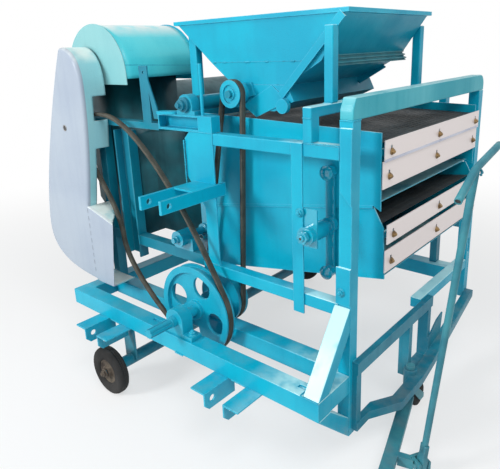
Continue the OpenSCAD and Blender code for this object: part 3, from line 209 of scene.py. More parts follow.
class SharedGroups:
    """Node groups that several finishes use: mottle, edge masks for wear and painted highlight,
    dirt with a painted top highlight, and skin.
    """

    def __init__(self) -> None:
        """Build each group once."""
        self.mottle = self._mottle()
        self.edge_wear_and_highlight = self._edge_wear_and_highlight()
        self.dust_and_highlight = self._dust_and_highlight()
        self.skin = self._skin()

    @staticmethod
    def _new(name: str, inputs: dict[str, float],
             outputs: Sequence[str]) -> tuple[bpy.types.NodeTree, NodeSheet, dict[str, Socket],
                                              bpy.types.Node]:
        """Start a group with named sockets.

        Args:
            name: Name of the group.
            inputs: Name and default value of each input.
            outputs: Name of each output; the one called Normal is a vector.

        Returns:
            The tree, its sheet, the input sockets by name and the group output node.
        """
        tree = bpy.data.node_groups.new(name, "ShaderNodeTree")
        for label, value in inputs.items():
            tree.interface.new_socket(name=label, in_out="INPUT",
                                      socket_type="NodeSocketFloat").default_value = value
        for label in outputs:
            kind = "NodeSocketVector" if label == "Normal" else "NodeSocketFloat"
            tree.interface.new_socket(name=label, in_out="OUTPUT", socket_type=kind)
        sheet = NodeSheet(tree)
        source = sheet.add("NodeGroupInput").outputs
        return tree, sheet, {label: source[label] for label in inputs}, sheet.add("NodeGroupOutput")

    def _mottle(self) -> bpy.types.NodeTree:
        """Cloudy tone of a hand-sprayed coat, with soft runs down the sides."""
        tree, sheet, given, result = self._new("Sprayed tone", {"Scale": 6.0, "Runs": 0.4},
                                               ("Tone", "Speck"))
        place = sheet.place()
        cloud = sheet.ramp(sheet.noise(place, given["Scale"], 4.0, 0.5), 0.3, 0.72)
        runs = sheet.ramp(sheet.streaks(place, (34.0, 34.0, 2.4), 2.0), 0.45, 0.75)
        tone = sheet.math("ADD", cloud, sheet.math("MULTIPLY", runs, given["Runs"]), True)
        sheet.link(tone, result.inputs["Tone"])
        sheet.link(sheet.ramp(sheet.noise(place, 260.0, 1.0), 0.62, 0.72), result.inputs["Speck"])
        return tree

    def _edge_wear_and_highlight(self) -> bpy.types.NodeTree:
        """Edge mask where a rounded normal leaves the true one, for the painted edge highlight, and
        wear chips where noise breaks it up.
        """
        tree, sheet, given, result = self._new("Edge wear and highlight mask", {"Radius": 0.004, "Amount": 0.5},
                                               ("Edge", "Chip"))
        bevel = sheet.add("ShaderNodeBevel", {"Radius": given["Radius"]}, samples=3)
        true = sheet.add("ShaderNodeNewGeometry").outputs["Normal"]
        dot = sheet.add("ShaderNodeVectorMath", {0: bevel.outputs["Normal"], 1: true},
                        operation="DOT_PRODUCT")
        edge = sheet.ramp(sheet.math("SUBTRACT", 1.0, dot.outputs["Value"]), 0.008, 0.12)
        sheet.link(edge, result.inputs["Edge"])
        broken = sheet.ramp(sheet.noise(sheet.place(), 70.0, 4.0, 0.7), 0.52, 0.62)
        chip = sheet.math("MULTIPLY", sheet.math("MULTIPLY", edge, broken), given["Amount"], True)
        sheet.link(chip, result.inputs["Chip"])
        return tree

    def _dust_and_highlight(self) -> bpy.types.NodeTree:
        """Dirt thrown up near the ground, and a painted highlight on what faces up, past From along
        X.

        Dust = (Top * facing up + Low * (1 - height / Height)) * patches.
        The painted top highlight = its strength * (x - From) / 0.14 * (normal z - Tilt) / 0.25
        * patches, each share from 0 to 1.
        """
        tree, sheet, given, result = self._new(
            "Field dust and top highlight", {"Height": 0.3, "Top": 0.2, "Low": 0.4, "Highlight strength": 0.0, "From": 0.36,
                           "Tilt": 0.28}, ("Dust", "Top highlight"))
        place = sheet.place()
        spot = sheet.add("ShaderNodeSeparateXYZ", {0: place}).outputs
        normal = sheet.add("ShaderNodeNewGeometry").outputs["Normal"]
        facing = sheet.add("ShaderNodeSeparateXYZ", {0: normal}).outputs["Z"]
        patch = sheet.ramp(sheet.noise(place, 14.0, 5.0, 0.65), 0.38, 0.72)
        up = sheet.math("MULTIPLY", sheet.ramp(facing, 0.5, 1.0), given["Top"])
        fall = sheet.math("SUBTRACT", 1.0, sheet.math("DIVIDE", spot["Z"], given["Height"]), True)
        low = sheet.math("MULTIPLY", fall, given["Low"])
        sheet.link(sheet.math("MULTIPLY", sheet.math("ADD", up, low), patch, True),
                   result.inputs["Dust"])
        # Painted highlight on faces that look up, past From along X, broken into patches.
        past_start = sheet.math("DIVIDE", sheet.math("SUBTRACT", spot["X"], given["From"]), 0.14, True)
        raised = sheet.math("DIVIDE", sheet.math("SUBTRACT", facing, given["Tilt"]), 0.25, True)
        top_highlight_mask = sheet.math("MULTIPLY", raised, past_start)
        broken = sheet.ramp(sheet.noise(place, 5.0, 4.0, 0.6), 0.3, 0.5)
        sheet.link(sheet.math("MULTIPLY", sheet.math("MULTIPLY", top_highlight_mask, broken), given["Highlight strength"],
                              True), result.inputs["Top highlight"])
        return tree

    def _skin(self) -> bpy.types.NodeTree:
        """Surface relief: fine orange peel over a slow wave of the sheet."""
        tree, sheet, given, result = self._new(
            "Coat relief", {"Peel": 0.3, "Wave": 0.3, "Peel scale": 220.0}, ("Normal",))
        place = sheet.place()
        wave = sheet.add("ShaderNodeBump", {"Distance": 0.012, "Strength": given["Wave"],
                                            "Height": sheet.noise(place, 7.0, 1.0)})
        fine = sheet.noise(place, given["Peel scale"], 2.0, 0.5)
        peel = sheet.add("ShaderNodeBump", {"Distance": 0.0012, "Strength": given["Peel"],
                                            "Height": fine, "Normal": wave.outputs["Normal"]})
        sheet.link(peel.outputs["Normal"], result.inputs["Normal"])
        return tree


# Finishes

def new_material(name: str) -> tuple[bpy.types.Material, NodeSheet]:
    """Make an empty node material and the sheet of its tree."""
    material = bpy.data.materials.new(name)
    material.use_nodes = True
    material.node_tree.nodes.clear()
    return material, NodeSheet(material.node_tree)


@dataclass(frozen=True)
class Coat:
    """Paint, metal or rubber with tone, wear, dirt, painted highlights and relief.

    The painted top highlight lies on faces that look up by more than its tilt, from its start in
    metres along X. Brushed is the stretch of fine streaks along each axis.
    The colour of the painted edge highlight is light times its gain plus its base.
    """

    name: str
    slot: Slot
    light: Colour
    dark: Colour
    wear: Colour
    roughness: float = 0.3
    rough_spread: float = 0.2
    metallic: float = 0.0
    coat: float = 0.0
    coat_roughness: float = 0.12
    specular: float = 0.5
    tone_scale: float = 5.0
    runs: float = 0.25
    chip: float = 0.5
    edge_radius: float = 0.004
    # Painted highlight on edges: its share, and the gain and base of its lighter colour.
    edge_highlight: float = 0.18
    highlight_gain: float = 1.2
    highlight_base: float = 0.18
    dust_colour: Colour = (0.42, 0.36, 0.27)
    dust_top: float = 0.12
    dust_low: float = 0.5
    dust_height: float = 0.32
    dust_roughness: float = 0.5
    # Painted highlight on up-facing faces: strength, start along X, tilt and colour.
    top_highlight: float = 0.0
    top_highlight_from: float = 0.36
    top_highlight_tilt: float = 0.28
    top_highlight_colour: Colour = (0.54, 0.88, 0.90)
    peel: float = 0.35
    peel_scale: float = 220.0
    wave: float = 0.25
    speck: float = 0.12
    brushed: Point | None = None
    streak_shade: float = 0.82
    streak_share: float = 0.5

    def build(self, groups: SharedGroups) -> bpy.types.Material:
        """Make the material.

        Args:
            groups: Shared node groups.

        Returns:
            The finished material.
        """
        material, sheet = new_material(self.name)
        tone = self._group(sheet, groups.mottle, {"Scale": self.tone_scale, "Runs": self.runs})
        # Edge masks: Edge sets the painted edge highlight, Chip sets real wear.
        wear = self._group(sheet, groups.edge_wear_and_highlight, {"Radius": self.edge_radius, "Amount": self.chip})
        # This group gives real dirt and the painted top highlight.
        dust_and_highlight = self._group(sheet, groups.dust_and_highlight, {
            "Height": self.dust_height, "Top": self.dust_top, "Low": self.dust_low,
            "Highlight strength": self.top_highlight, "From": self.top_highlight_from, "Tilt": self.top_highlight_tilt})
        skin = self._group(sheet, groups.skin, {"Peel": self.peel, "Wave": self.wave,
                                                "Peel scale": self.peel_scale})
        colour = sheet.mix(tone["Tone"], self.light, self.dark)
        if self.brushed:
            colour = self._brush(sheet, colour)
        # Painted edge highlight: the light colour raised, standing in for light caught by the
        # edges.
        edge_highlight_colour = tuple(min(1.0, c * self.highlight_gain + self.highlight_base) for c in self.light)
        # Specks, painted edge highlight, wear chips, dirt and the painted top highlight, in turn.
        for share, over in ((sheet.math("MULTIPLY", tone["Speck"], self.speck), self.wear),
                            (sheet.math("MULTIPLY", wear["Edge"], self.edge_highlight), edge_highlight_colour),
                            (wear["Chip"], self.wear), (dust_and_highlight["Dust"], self.dust_colour),
                            (dust_and_highlight["Top highlight"], self.top_highlight_colour)):
            colour = sheet.mix(share, colour, over)
        spread = sheet.math("MULTIPLY", tone["Tone"], self.rough_spread)
        rough = sheet.math("ADD", sheet.math("ADD", spread, self.roughness),
                           sheet.math("MULTIPLY", dust_and_highlight["Dust"], self.dust_roughness), True)
        shader = sheet.add("ShaderNodeBsdfPrincipled", {
            "Metallic": self.metallic, "Coat Weight": self.coat,
            "Coat Roughness": self.coat_roughness, "Specular IOR Level": self.specular,
            "Base Color": colour, "Roughness": rough, "Normal": skin["Normal"]})
        sheet.output(shader.outputs[0])
        return material

    def _brush(self, sheet: NodeSheet, colour: Socket) -> Socket:
        """Add long fine streaks along one direction."""
        streak = sheet.ramp(sheet.streaks(sheet.place(), self.brushed, 3.0, 0.6), 0.35, 0.7)
        dimmed = tuple(c * self.streak_shade for c in self.dark)
        return sheet.mix(sheet.math("MULTIPLY", streak, self.streak_share), colour, dimmed)

    @staticmethod
    def _group(sheet: NodeSheet, group: bpy.types.NodeTree,
               values: dict[str, object]) -> bpy.types.bpy_prop_collection:
        """Place a shared group with its inputs and return its outputs."""
        return sheet.add("ShaderNodeGroup", values, node_tree=group).outputs


class Finish(Enum):
    """Every finish of the machine."""

    # Painted highlight on its edges and on up-facing faces right of 0.36 m along X.
    TEAL_ENAMEL = Coat(
        "teal_enamel", Slot.TEAL, (0.002, 0.44, 0.61), (0.001, 0.35, 0.52), (0.03, 0.05, 0.06),
        roughness=0.30, coat=0.12, specular=0.25, chip=0.4, edge_highlight=0.45, top_highlight=0.95)
    DEEP_TEAL_ENAMEL = Coat(
        "deep_teal_enamel", Slot.TEAL, (0.003, 0.25, 0.35), (0.002, 0.17, 0.26),
        (0.04, 0.05, 0.05), roughness=0.36, coat=0.15, specular=0.3, chip=0.5, edge_highlight=0.3,
        dust_low=0.3)
    WEATHERED_TEAL = Coat(
        "weathered_teal", Slot.TEAL, (0.05, 0.28, 0.33), (0.025, 0.18, 0.24), (0.20, 0.22, 0.22),
        roughness=0.42, coat=0.1, specular=0.35, chip=0.9, dust_low=0.25,
        dust_colour=(0.20, 0.22, 0.21), tone_scale=12.0)
    # With a painted highlight on up-facing faces.
    SUNNED_TEAL = Coat(
        "sunned_teal", Slot.TEAL, (0.06, 0.48, 0.56), (0.03, 0.37, 0.46), (0.05, 0.07, 0.07),
        roughness=0.4, coat=0.08, specular=0.3, chip=0.4, tone_scale=3.0, top_highlight=0.5)
    CAST_TEAL = Coat(
        "cast_teal", Slot.TEAL, (0.003, 0.42, 0.58), (0.002, 0.32, 0.47), (0.04, 0.05, 0.05),
        roughness=0.38, coat=0.15, specular=0.35, peel=0.9, peel_scale=120.0, dust_top=0.15)
    # With a painted highlight on up-facing faces, such as the top of its round edge.
    GUARD_ENAMEL = Coat(
        "guard_enamel", Slot.GUARD, (0.40, 0.465, 0.54), (0.35, 0.41, 0.50), (0.16, 0.17, 0.19),
        roughness=0.34, coat=0.15, specular=0.3, chip=0.3, dust_low=0.0, tone_scale=3.0, runs=0.3,
        top_highlight=0.8, top_highlight_from=-2.0, top_highlight_tilt=0.3, top_highlight_colour=(0.86, 0.92, 0.90))
    GUARD_SHADE = Coat(
        "guard_shade", Slot.GUARD, (0.20, 0.22, 0.26), (0.13, 0.15, 0.18), (0.08, 0.09, 0.10),
        roughness=0.5, dust_low=0.0)
    # With a painted highlight that turns the top of the hood near white.
    HOOD_ENAMEL = Coat(
        "hood_enamel", Slot.TEAL, (0.12, 0.84, 0.92), (0.08, 0.77, 0.87), (0.04, 0.09, 0.10),
        roughness=0.28, coat=0.25, specular=0.4, chip=0.4, top_highlight=0.9, top_highlight_from=-2.0,
        top_highlight_colour=(0.88, 0.95, 0.92), top_highlight_tilt=0.72)
    GLOSSY_TEAL = Coat(
        "glossy_teal", Slot.TEAL, (0.003, 0.40, 0.55), (0.002, 0.30, 0.44), (0.04, 0.05, 0.05),
        roughness=0.14, rough_spread=0.1, coat=0.8, specular=0.6, peel=0.25, dust_top=0.0)
    # Near-black teal: painted shade in the casing behind the hood.
    CASING_TEAL = Coat(
        "casing_painted_shade", Slot.TEAL, (0.006, 0.13, 0.16), (0.004, 0.07, 0.09), (0.03, 0.04, 0.04),
        roughness=0.4, coat=0.1, specular=0.3, tone_scale=8.0)
    # Grey tinted towards teal: painted reflection of the teal frame on the guard's sides, with a
    # painted highlight on up-facing faces.
    GUARD_SIDE = Coat(
        "guard_side_painted_reflection", Slot.GUARD, (0.40, 0.74, 0.78), (0.32, 0.66, 0.71), (0.16, 0.17, 0.19),
        roughness=0.3, coat=0.15, specular=0.3, chip=0.3, dust_low=0.0, tone_scale=3.0, top_highlight=0.9,
        top_highlight_from=-2.0, top_highlight_colour=(0.88, 0.95, 0.90), top_highlight_tilt=0.45)
    HOOD_FACE = Coat(
        "hood_face", Slot.TEAL, (0.25, 0.54, 0.56), (0.20, 0.48, 0.51), (0.05, 0.10, 0.10),
        roughness=0.3, coat=0.2, specular=0.4, chip=0.4, tone_scale=3.0)
    BOARD_SHEET = Coat(
        "board_sheet", Slot.BOARD, (0.78, 0.68, 0.62), (0.68, 0.58, 0.53), (0.22, 0.17, 0.13),
        roughness=0.42, metallic=0.1, chip=0.5, dust_low=0.0, runs=0.1, brushed=(30.0, 1.5, 260.0))
    FOLD_SHEET = Coat(
        "fold_sheet", Slot.BOARD, (0.62, 0.64, 0.74), (0.50, 0.52, 0.63), (0.22, 0.20, 0.20),
        roughness=0.35, metallic=0.2, dust_low=0.0)
    SIEVE_SHEET = Coat(
        "sieve_sheet", Slot.SIEVE, (0.055, 0.062, 0.066), (0.03, 0.034, 0.037), (0.20, 0.18, 0.15),
        roughness=0.55, metallic=0.4, dust_top=0.06, dust_low=0.0, edge_highlight=0.1)
    BELT_CLOTH = Coat(
        "belt_cloth", Slot.BELT, (0.105, 0.10, 0.082), (0.058, 0.057, 0.048), (0.30, 0.28, 0.21),
        roughness=0.75, specular=0.2, chip=0.9, edge_highlight=0.25, dust_top=0.1, peel=1.0,
        peel_scale=420.0, tone_scale=18.0)
    TYRE_RUBBER = Coat(
        "tyre_rubber", Slot.WHEEL, (0.034, 0.034, 0.034), (0.018, 0.018, 0.018),
        (0.10, 0.09, 0.08), roughness=0.72, specular=0.2, edge_highlight=0.06, dust_top=0.2,
        dust_low=0.2, dust_colour=(0.12, 0.11, 0.10), dust_height=0.26, peel=0.8, peel_scale=160.0)
    RUSTY_HUB = Coat(
        "rusty_hub", Slot.WHEEL, (0.10, 0.075, 0.055), (0.045, 0.036, 0.03), (0.2, 0.17, 0.14),
        roughness=0.65, metallic=0.3, dust_low=0.5, peel=1.0, peel_scale=150.0, tone_scale=40.0)
    BRASS_BOLT = Coat(
        "brass_bolt", Slot.BRASS, (0.34, 0.22, 0.09), (0.12, 0.075, 0.04), (0.45, 0.38, 0.26),
        roughness=0.4, metallic=0.8, dust_low=0.0, tone_scale=60.0)
    WORN_STEEL = Coat(
        "worn_steel", Slot.TEAL, (0.42, 0.42, 0.41), (0.25, 0.24, 0.23), (0.10, 0.07, 0.05),
        roughness=0.35, metallic=0.85, dust_low=0.3, tone_scale=30.0)


# Meshes

def material_of(finish: Finish) -> bpy.types.Material:
    """Return the built material of a finish."""
    return bpy.data.materials[finish.value.name]


def body_of(node: str) -> str:
    """Return the CAD body that a node belongs to."""
    bodies = frame["record"]["behaviour"]["bodies"]
    return next(body for body, members in bodies.items() if node in members)


def make_piece(name: str, points: Array, faces: Iterable[Sequence[int]], finish: Finish, body: str,
               stands_for: Sequence[str] = (), flat: bool = False) -> Piece:
    """Make a mesh piece from points in millimetres and let it ride on a body.

    Args:
        name: Name of the piece.
        points: Array of n by 3 coordinates in millimetres.
        faces: Corner numbers of each face.
        finish: Its finish.
        body: CAD body that it rides on.
        stands_for: CAD nodes that it replaces.
        flat: Whether its faces are shaded flat.

    Returns:
        The new object.
    """
    mesh = bpy.data.meshes.new(name)
    mesh.from_pydata((np.asarray(points, float) * MM).tolist(), [], [list(f) for f in faces])
    mesh.validate()
    work = bmesh.new()
    work.from_mesh(mesh)
    bmesh.ops.recalc_face_normals(work, faces=work.faces)
    work.to_mesh(mesh)
    work.free()
    mesh.polygons.foreach_set("use_smooth", np.full(len(mesh.polygons), not flat))
    piece = bpy.data.objects.new(name, mesh)
    bpy.context.scene.collection.objects.link(piece)
    mesh.materials.append(material_of(finish))
    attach(piece, body)
    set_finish(piece, finish.value.slot.value)
    if stands_for:
        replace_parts(piece, *stands_for)
    return piece


def round_edges(piece: Piece, width: float) -> None:
    """Add a Bevel modifier of a width in millimetres that keeps flat faces flat."""
    bevel = piece.modifiers.new("round_edges", "BEVEL")
    bevel.width = width * MM
    bevel.segments = EDGE_STEPS
    bevel.limit_method = "ANGLE"
    bevel.angle_limit = EDGE_ANGLE
    bevel.harden_normals = True
    bevel.use_clamp_overlap = True


def thicken(piece: Piece, thickness: float, even: bool = True) -> None:
    """Add a Solidify modifier that grows inward by a thickness in millimetres."""
    wall = piece.modifiers.new("wall", "SOLIDIFY")
    wall.thickness = thickness * MM
    wall.offset = -1.0
    wall.use_even_offset = even


def rounded_copy(node: str, finish: Finish, width: float = 2.0) -> Piece:
    """Copy a CAD node, merge its corners, join its flat faces and round its edges.

    Args:
        node: Name of the CAD node.
        finish: Its finish.
        width: Width of the rounding in millimetres.

    Returns:
        The piece that stands for the node.
    """
    work = bmesh.new()
    work.from_mesh(frame["nodes"][node].data)
    bmesh.ops.remove_doubles(work, verts=work.verts, dist=SAME_PLACE)
    bmesh.ops.dissolve_limit(work, angle_limit=FLAT_ANGLE, verts=work.verts, edges=work.edges)
    points = np.array([vert.co for vert in work.verts]) / MM
    faces = [[vert.index for vert in face.verts] for face in work.faces]
    work.free()
    piece = make_piece(node + "_dressed", points, faces, finish, body_of(node), [node])
    if width > 0:
        round_edges(piece, width)
    return piece


def grid_faces(rows: int, columns: int, wrap_rows: bool = False,
               wrap_columns: bool = False) -> Array:
    """Corner numbers of the quads of a grid, row by row.

    Args:
        rows: Number of point rows.
        columns: Number of points in a row.
        wrap_rows: Whether the last row joins the first.
        wrap_columns: Whether the last column joins the first.

    Returns:
        Array of n by 4 corner numbers.
    """
    row = np.arange(rows if wrap_rows else rows - 1)[:, None]
    column = np.arange(columns if wrap_columns else columns - 1)[None, :]
    below, after = (row + 1) % rows, (column + 1) % columns
    corners = [row * columns + column, row * columns + after, below * columns + after,
               below * columns + column]
    return np.stack([np.broadcast_to(c, (row.size, column.size)) for c in corners],
                    axis=-1).reshape(-1, 4)


def path_frames(path: Array, closed: bool, hint: Array) -> tuple[Array, Array]:
    """Two unit directions across a path at each of its points.

    The tangent is the difference of the neighbours, the first direction is the hint less its
    part along the tangent, and the second is the cross product of the two.

    Args:
        path: Array of n by 3 points.
        closed: Whether the path is a loop.
        hint: Direction that the first one stays near.

    Returns:
        First and second directions, n by 3 each.
    """
    if closed:
        tangent = np.roll(path, -1, 0) - np.roll(path, 1, 0)
    else:
        tangent = np.gradient(path, axis=0)
    tangent /= np.linalg.norm(tangent, axis=1, keepdims=True)
    first = hint[None, :] - tangent * (tangent @ hint)[:, None]
    first /= np.linalg.norm(first, axis=1, keepdims=True)
    return first, np.cross(tangent, first)


def sweep(name: str, path: Array, profile: Array, finish: Finish, body: str, closed: bool = False,
          hint: Sequence[float] = (0.0, 0.0, 1.0), stands_for: Sequence[str] = (),
          scale: Array | None = None, flat: bool = False) -> Piece:
    """Carry a closed profile along a path.

    Point = path(u) + profile_x(v) * first(u) + profile_y(v) * second(u).

    Args:
        name: Name of the piece.
        path: Array of n by 3 points in millimetres.
        profile: Array of m by 2 points in millimetres.
        finish: Its finish.
        body: CAD body that it rides on.
        closed: Whether the path is a loop.
        hint: Direction that the profile's first axis stays near.
        stands_for: CAD nodes that it replaces.
        scale: Size of the profile at each point of the path.
        flat: Whether its faces are shaded flat.

    Returns:
        The new object.
    """
    path = np.asarray(path, float)
    first, second = path_frames(path, closed, np.asarray(hint, float))
    size = np.ones(len(path)) if scale is None else np.asarray(scale, float)
    points = (path[:, None, :] + size[:, None, None] * (profile[None, :, :1] * first[:, None, :]
              + profile[None, :, 1:] * second[:, None, :])).reshape(-1, 3)
    faces = grid_faces(len(path), len(profile), closed, True).tolist()
    if not closed:
        count = len(profile)
        faces.append(list(range(count))[::-1])
        faces.append([(len(path) - 1) * count + k for k in range(count)])
    return make_piece(name, points, faces, finish, body, stands_for, flat)


def circle(radius: float, count: int = 20) -> Array:
    """Points of a circle: radius times the cosine and sine of even angles."""
    angle = np.linspace(0, 2 * math.pi, count, endpoint=False)
    return radius * np.stack([np.cos(angle), np.sin(angle)], axis=1)


def lathe(name: str, centre: Sequence[float], axis: Axis, profile: Array, finish: Finish,
          body: str, stands_for: Sequence[str] = (), count: int = 48, flat: bool = False) -> Piece:
    """Turn a profile about an axis through a point.

    Point = centre + height * axis + radius * (cos a, sin a) across the axis.

    Args:
        name: Name of the piece.
        centre: Point on the axis in millimetres.
        axis: Axis that it stands on.
        profile: Radius and height of each point; the ends have radius 0 or meet.
        finish: Its finish.
        body: CAD body that it rides on.
        stands_for: CAD nodes that it replaces.
        count: Steps round the axis.
        flat: Whether its faces are shaded flat.

    Returns:
        The new object.
    """
    profile = np.asarray(profile, float)
    angle = np.linspace(0, 2 * math.pi, count, endpoint=False)
    across = profile[:, None, :1] * np.stack([np.cos(angle), np.sin(angle)], axis=1)
    along = np.broadcast_to(profile[:, 1:], across.shape[:2])
    points = np.insert(across, axis.value, along, axis=-1).reshape(-1, 3)
    points += np.asarray(centre, float)
    loop = bool(np.allclose(profile[0], profile[-1]))
    rows = len(profile) - 1 if loop else len(profile)
    faces = grid_faces(rows, count, loop, True).tolist()
    points = points[:rows * count]
    if not loop:
        faces.append(list(range(count)))
        faces.append([(rows - 1) * count + k for k in range(count)])
    return make_piece(name, points, faces, finish, body, stands_for, flat)


def merge_pieces(name: str, pieces: Sequence[Piece]) -> Piece:
    """Join pieces of one body and finish into one, with their modifiers applied.

    Args:
        name: Name of the joined piece.
        pieces: Pieces to join; they are removed.

    Returns:
        The joined piece.
    """
    graph = bpy.context.evaluated_depsgraph_get()
    work = bmesh.new()
    for piece in pieces:
        mesh = bpy.data.meshes.new_from_object(piece.evaluated_get(graph))
        work.from_mesh(mesh)
        bpy.data.meshes.remove(mesh)
    mesh = bpy.data.meshes.new(name)
    work.to_mesh(mesh)
    work.free()
    first = pieces[0]
    joined = bpy.data.objects.new(name, mesh)
    bpy.context.scene.collection.objects.link(joined)
    mesh.materials.clear()
    mesh.materials.append(first.data.materials[0])
    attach(joined, first["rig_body"])
    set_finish(joined, first["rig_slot"])
    nodes = sorted({node for piece in pieces for node in list(piece.get("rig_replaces", []))})
    for piece in pieces:
        old = piece.data
        bpy.data.objects.remove(piece)
        bpy.data.meshes.remove(old)
    if nodes:
        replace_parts(joined, *nodes)
    return joined


def bezier(start: Sequence[float], first: Sequence[float], second: Sequence[float],
           end: Sequence[float], count: int) -> Array:
    """Cubic curve: the four points weighted by the Bernstein terms of even steps."""
    step = np.linspace(0, 1, count)[:, None]
    rest = 1 - step
    return (np.asarray(start) * rest ** 3 + 3 * np.asarray(first) * rest ** 2 * step
            + 3 * np.asarray(second) * rest * step ** 2 + np.asarray(end) * step ** 3)


def resample(path: Array, spacing: float, closed: bool = False) -> Array:
    """Even steps along a polyline.

    Args:
        path: Array of n by k points.
        spacing: Step in millimetres.
        closed: Whether the last point joins the first.

    Returns:
        Array of points at even distances.
    """
    points = np.vstack([path, path[:1]]) if closed else np.asarray(path, float)
    steps = np.linalg.norm(np.diff(points, axis=0), axis=1)
    apart = steps > 1e-6
    points = points[np.concatenate([[True], apart])]
    length = np.concatenate([[0.0], np.cumsum(steps[apart])])
    count = max(2, int(round(length[-1] / spacing)) + 1)
    at = np.linspace(0, length[-1], count)
    out = np.stack([np.interp(at, length, points[:, k]) for k in range(points.shape[1])], axis=1)
    return out[:-1] if closed else out


# Bars, plates, beads and bolts

def box_bar(name: str, low: Sequence[float], high: Sequence[float], finish: Finish, body: str,
            edge: float) -> Piece:
    """Make a bar between two corners in millimetres, with rounded edges.

    Args:
        name: Name of the piece.
        low: Lowest corner.
        high: Highest corner.
        finish: Its finish.
        body: CAD body that it rides on.
        edge: Width of the rounding.

    Returns:
        The new object.
    """
    x, y, z = np.meshgrid(*[np.array([a, b], float) for a, b in zip(low, high)], indexing="ij")
    points = np.stack([x.ravel(), y.ravel(), z.ravel()], axis=1)
    faces = [(0, 1, 3, 2), (4, 6, 7, 5), (0, 4, 5, 1), (2, 3, 7, 6), (0, 2, 6, 4), (1, 5, 7, 3)]
    piece = make_piece(name, points, faces, finish, body)
    round_edges(piece, edge)
    return piece


def plate(name: str, outline: Array, low: float, high: float, finish: Finish, body: str,
          edge: float) -> Piece:
    """Make a plate with an outline in X and Z and a thickness along Y.

    Args:
        name: Name of the piece.
        outline: Array of n by 2 points.
        low: Near face along Y.
        high: Far face along Y.
        finish: Its finish.
        body: CAD body that it rides on.
        edge: Width of the edge rounding.

    Returns:
        The new object.
    """
    outline = np.asarray(outline, float)
    count = len(outline)
    points = np.column_stack([np.tile(outline[:, 0], 2), np.repeat([low, high], count),
                              np.tile(outline[:, 1], 2)])
    faces = [list(range(count)), list(range(count, 2 * count))]
    faces += [[k, (k + 1) % count, count + (k + 1) % count, count + k] for k in range(count)]
    piece = make_piece(name, points, faces, finish, body)
    round_edges(piece, edge)
    return piece


def weld(name: str, points: Sequence[Sequence[float]], radius: float, body: str,
         seed: int = 1, finish: Finish = Finish.CAST_TEAL) -> Piece:
    """Make a weld bead: a thin tube whose radius ripples along the seam.

    Radius = mean * (1 + 0.22 sin(1.9 step) + 0.14 random), kept from 0.5 to 1.6 of the mean.

    Args:
        name: Name of the piece.
        points: Corners of the seam in millimetres.
        radius: Mean radius of the bead.
        body: CAD body that it rides on.
        seed: Seed of the small irregularities.
        finish: Its finish.

    Returns:
        The new object.
    """
    path = resample(np.asarray(points, float), 2.6)
    random = np.random.default_rng(seed)
    scale = radius * (1 + 0.22 * np.sin(np.arange(len(path)) * 1.9)
                      + 0.14 * random.standard_normal(len(path)))
    scale = np.clip(scale, 0.5 * radius, 1.6 * radius)
    scale[[0, -1]] *= 0.5
    run = path[-1] - path[0]
    hint = (0.1, 0.2, 1.0) if abs(run[2]) < 0.9 * np.linalg.norm(run) else (1.0, 0.2, 0.1)
    return sweep(name, path, circle(1.0, 8), finish, body, hint=hint, scale=scale)


def hex_bolt(name: str, centre: Sequence[float], axis: Axis, sign: float, size: float,
             finish: Finish, body: str) -> list[Piece]:
    """Make a bolt head with a washer and a thread end, standing on a face.

    Radii and heights are shares of the head's radius, above a washer as thick as foot.

    Args:
        name: Name of the pieces.
        centre: Point on the face in millimetres.
        axis: Axis that it stands on.
        sign: Direction of the head along the axis.
        size: Radius of the head over its corners.
        finish: Its finish.
        body: CAD body that it rides on.

    Returns:
        The new objects: head, stem and washer.
    """
    foot = 1.8
    head = np.array([(AXIS_R, foot), (size, foot), (size, foot + 0.62 * size),
                     (0.86 * size, foot + 0.74 * size), (AXIS_R, foot + 0.74 * size)])
    stem = np.array([(AXIS_R, foot), (0.5 * size, foot), (0.5 * size, foot + 1.05 * size),
                     (0.42 * size, foot + 1.15 * size), (AXIS_R, foot + 1.15 * size)])
    ring = np.array([(AXIS_R, 0.0), (1.35 * size, 0.0), (1.35 * size, foot), (AXIS_R, foot)])
    return [lathe(f"{name}_{number}", centre, axis, profile * np.array([1.0, sign]), finish, body,
                  count=count, flat=flat)
            for number, (profile, count, flat) in enumerate(
                ((head, 6, True), (stem, 14, False), (ring, 18, False)))]


# Sub-assemblies

@dataclass
class FrameWork:
    """Tubes, posts, brackets and bearings of the standing frame.

    Each row holds the nodes, their finish and the width of their edges.
    """

    plate_edge: float = 1.4
    rows: tuple[tuple[tuple[str, ...], Finish, float], ...] = (
        (("front_beam", "cross_beams", "left_member", "right_member", "far_post", "mid_rail",
          "upper_beam", "front_brace", "hopper_bearers", "hopper_posts"), Finish.TEAL_ENAMEL, 4.0),
        (("main_post", "angle_post", "right_post", "top_link_bars", "lower_hitch",
          "top_channel"), Finish.TEAL_ENAMEL, plate_edge),
        (("left_rails", "rear_posts", "rear_rails", "tow_frame", "axle_tube"),
         Finish.DEEP_TEAL_ENAMEL, 3.0),
        (("left_posts",), Finish.DEEP_TEAL_ENAMEL, plate_edge),
        (("caster_fork", "tow_tongue"), Finish.WEATHERED_TEAL, plate_edge),
        (("outer_hoop",), Finish.SUNNED_TEAL, 4.0),
        (("rocker_bearings",), Finish.GLOSSY_TEAL, 2.5),
        (("pto_bearings", "shaft_bearings"), Finish.CAST_TEAL, 2.5),
    )

    def build(self) -> list[Piece]:
        """Dress each node with a rounded copy.

        Returns:
            The pieces.
        """
        return [rounded_copy(node, finish, edge) for nodes, finish, edge in self.rows
                for node in nodes]


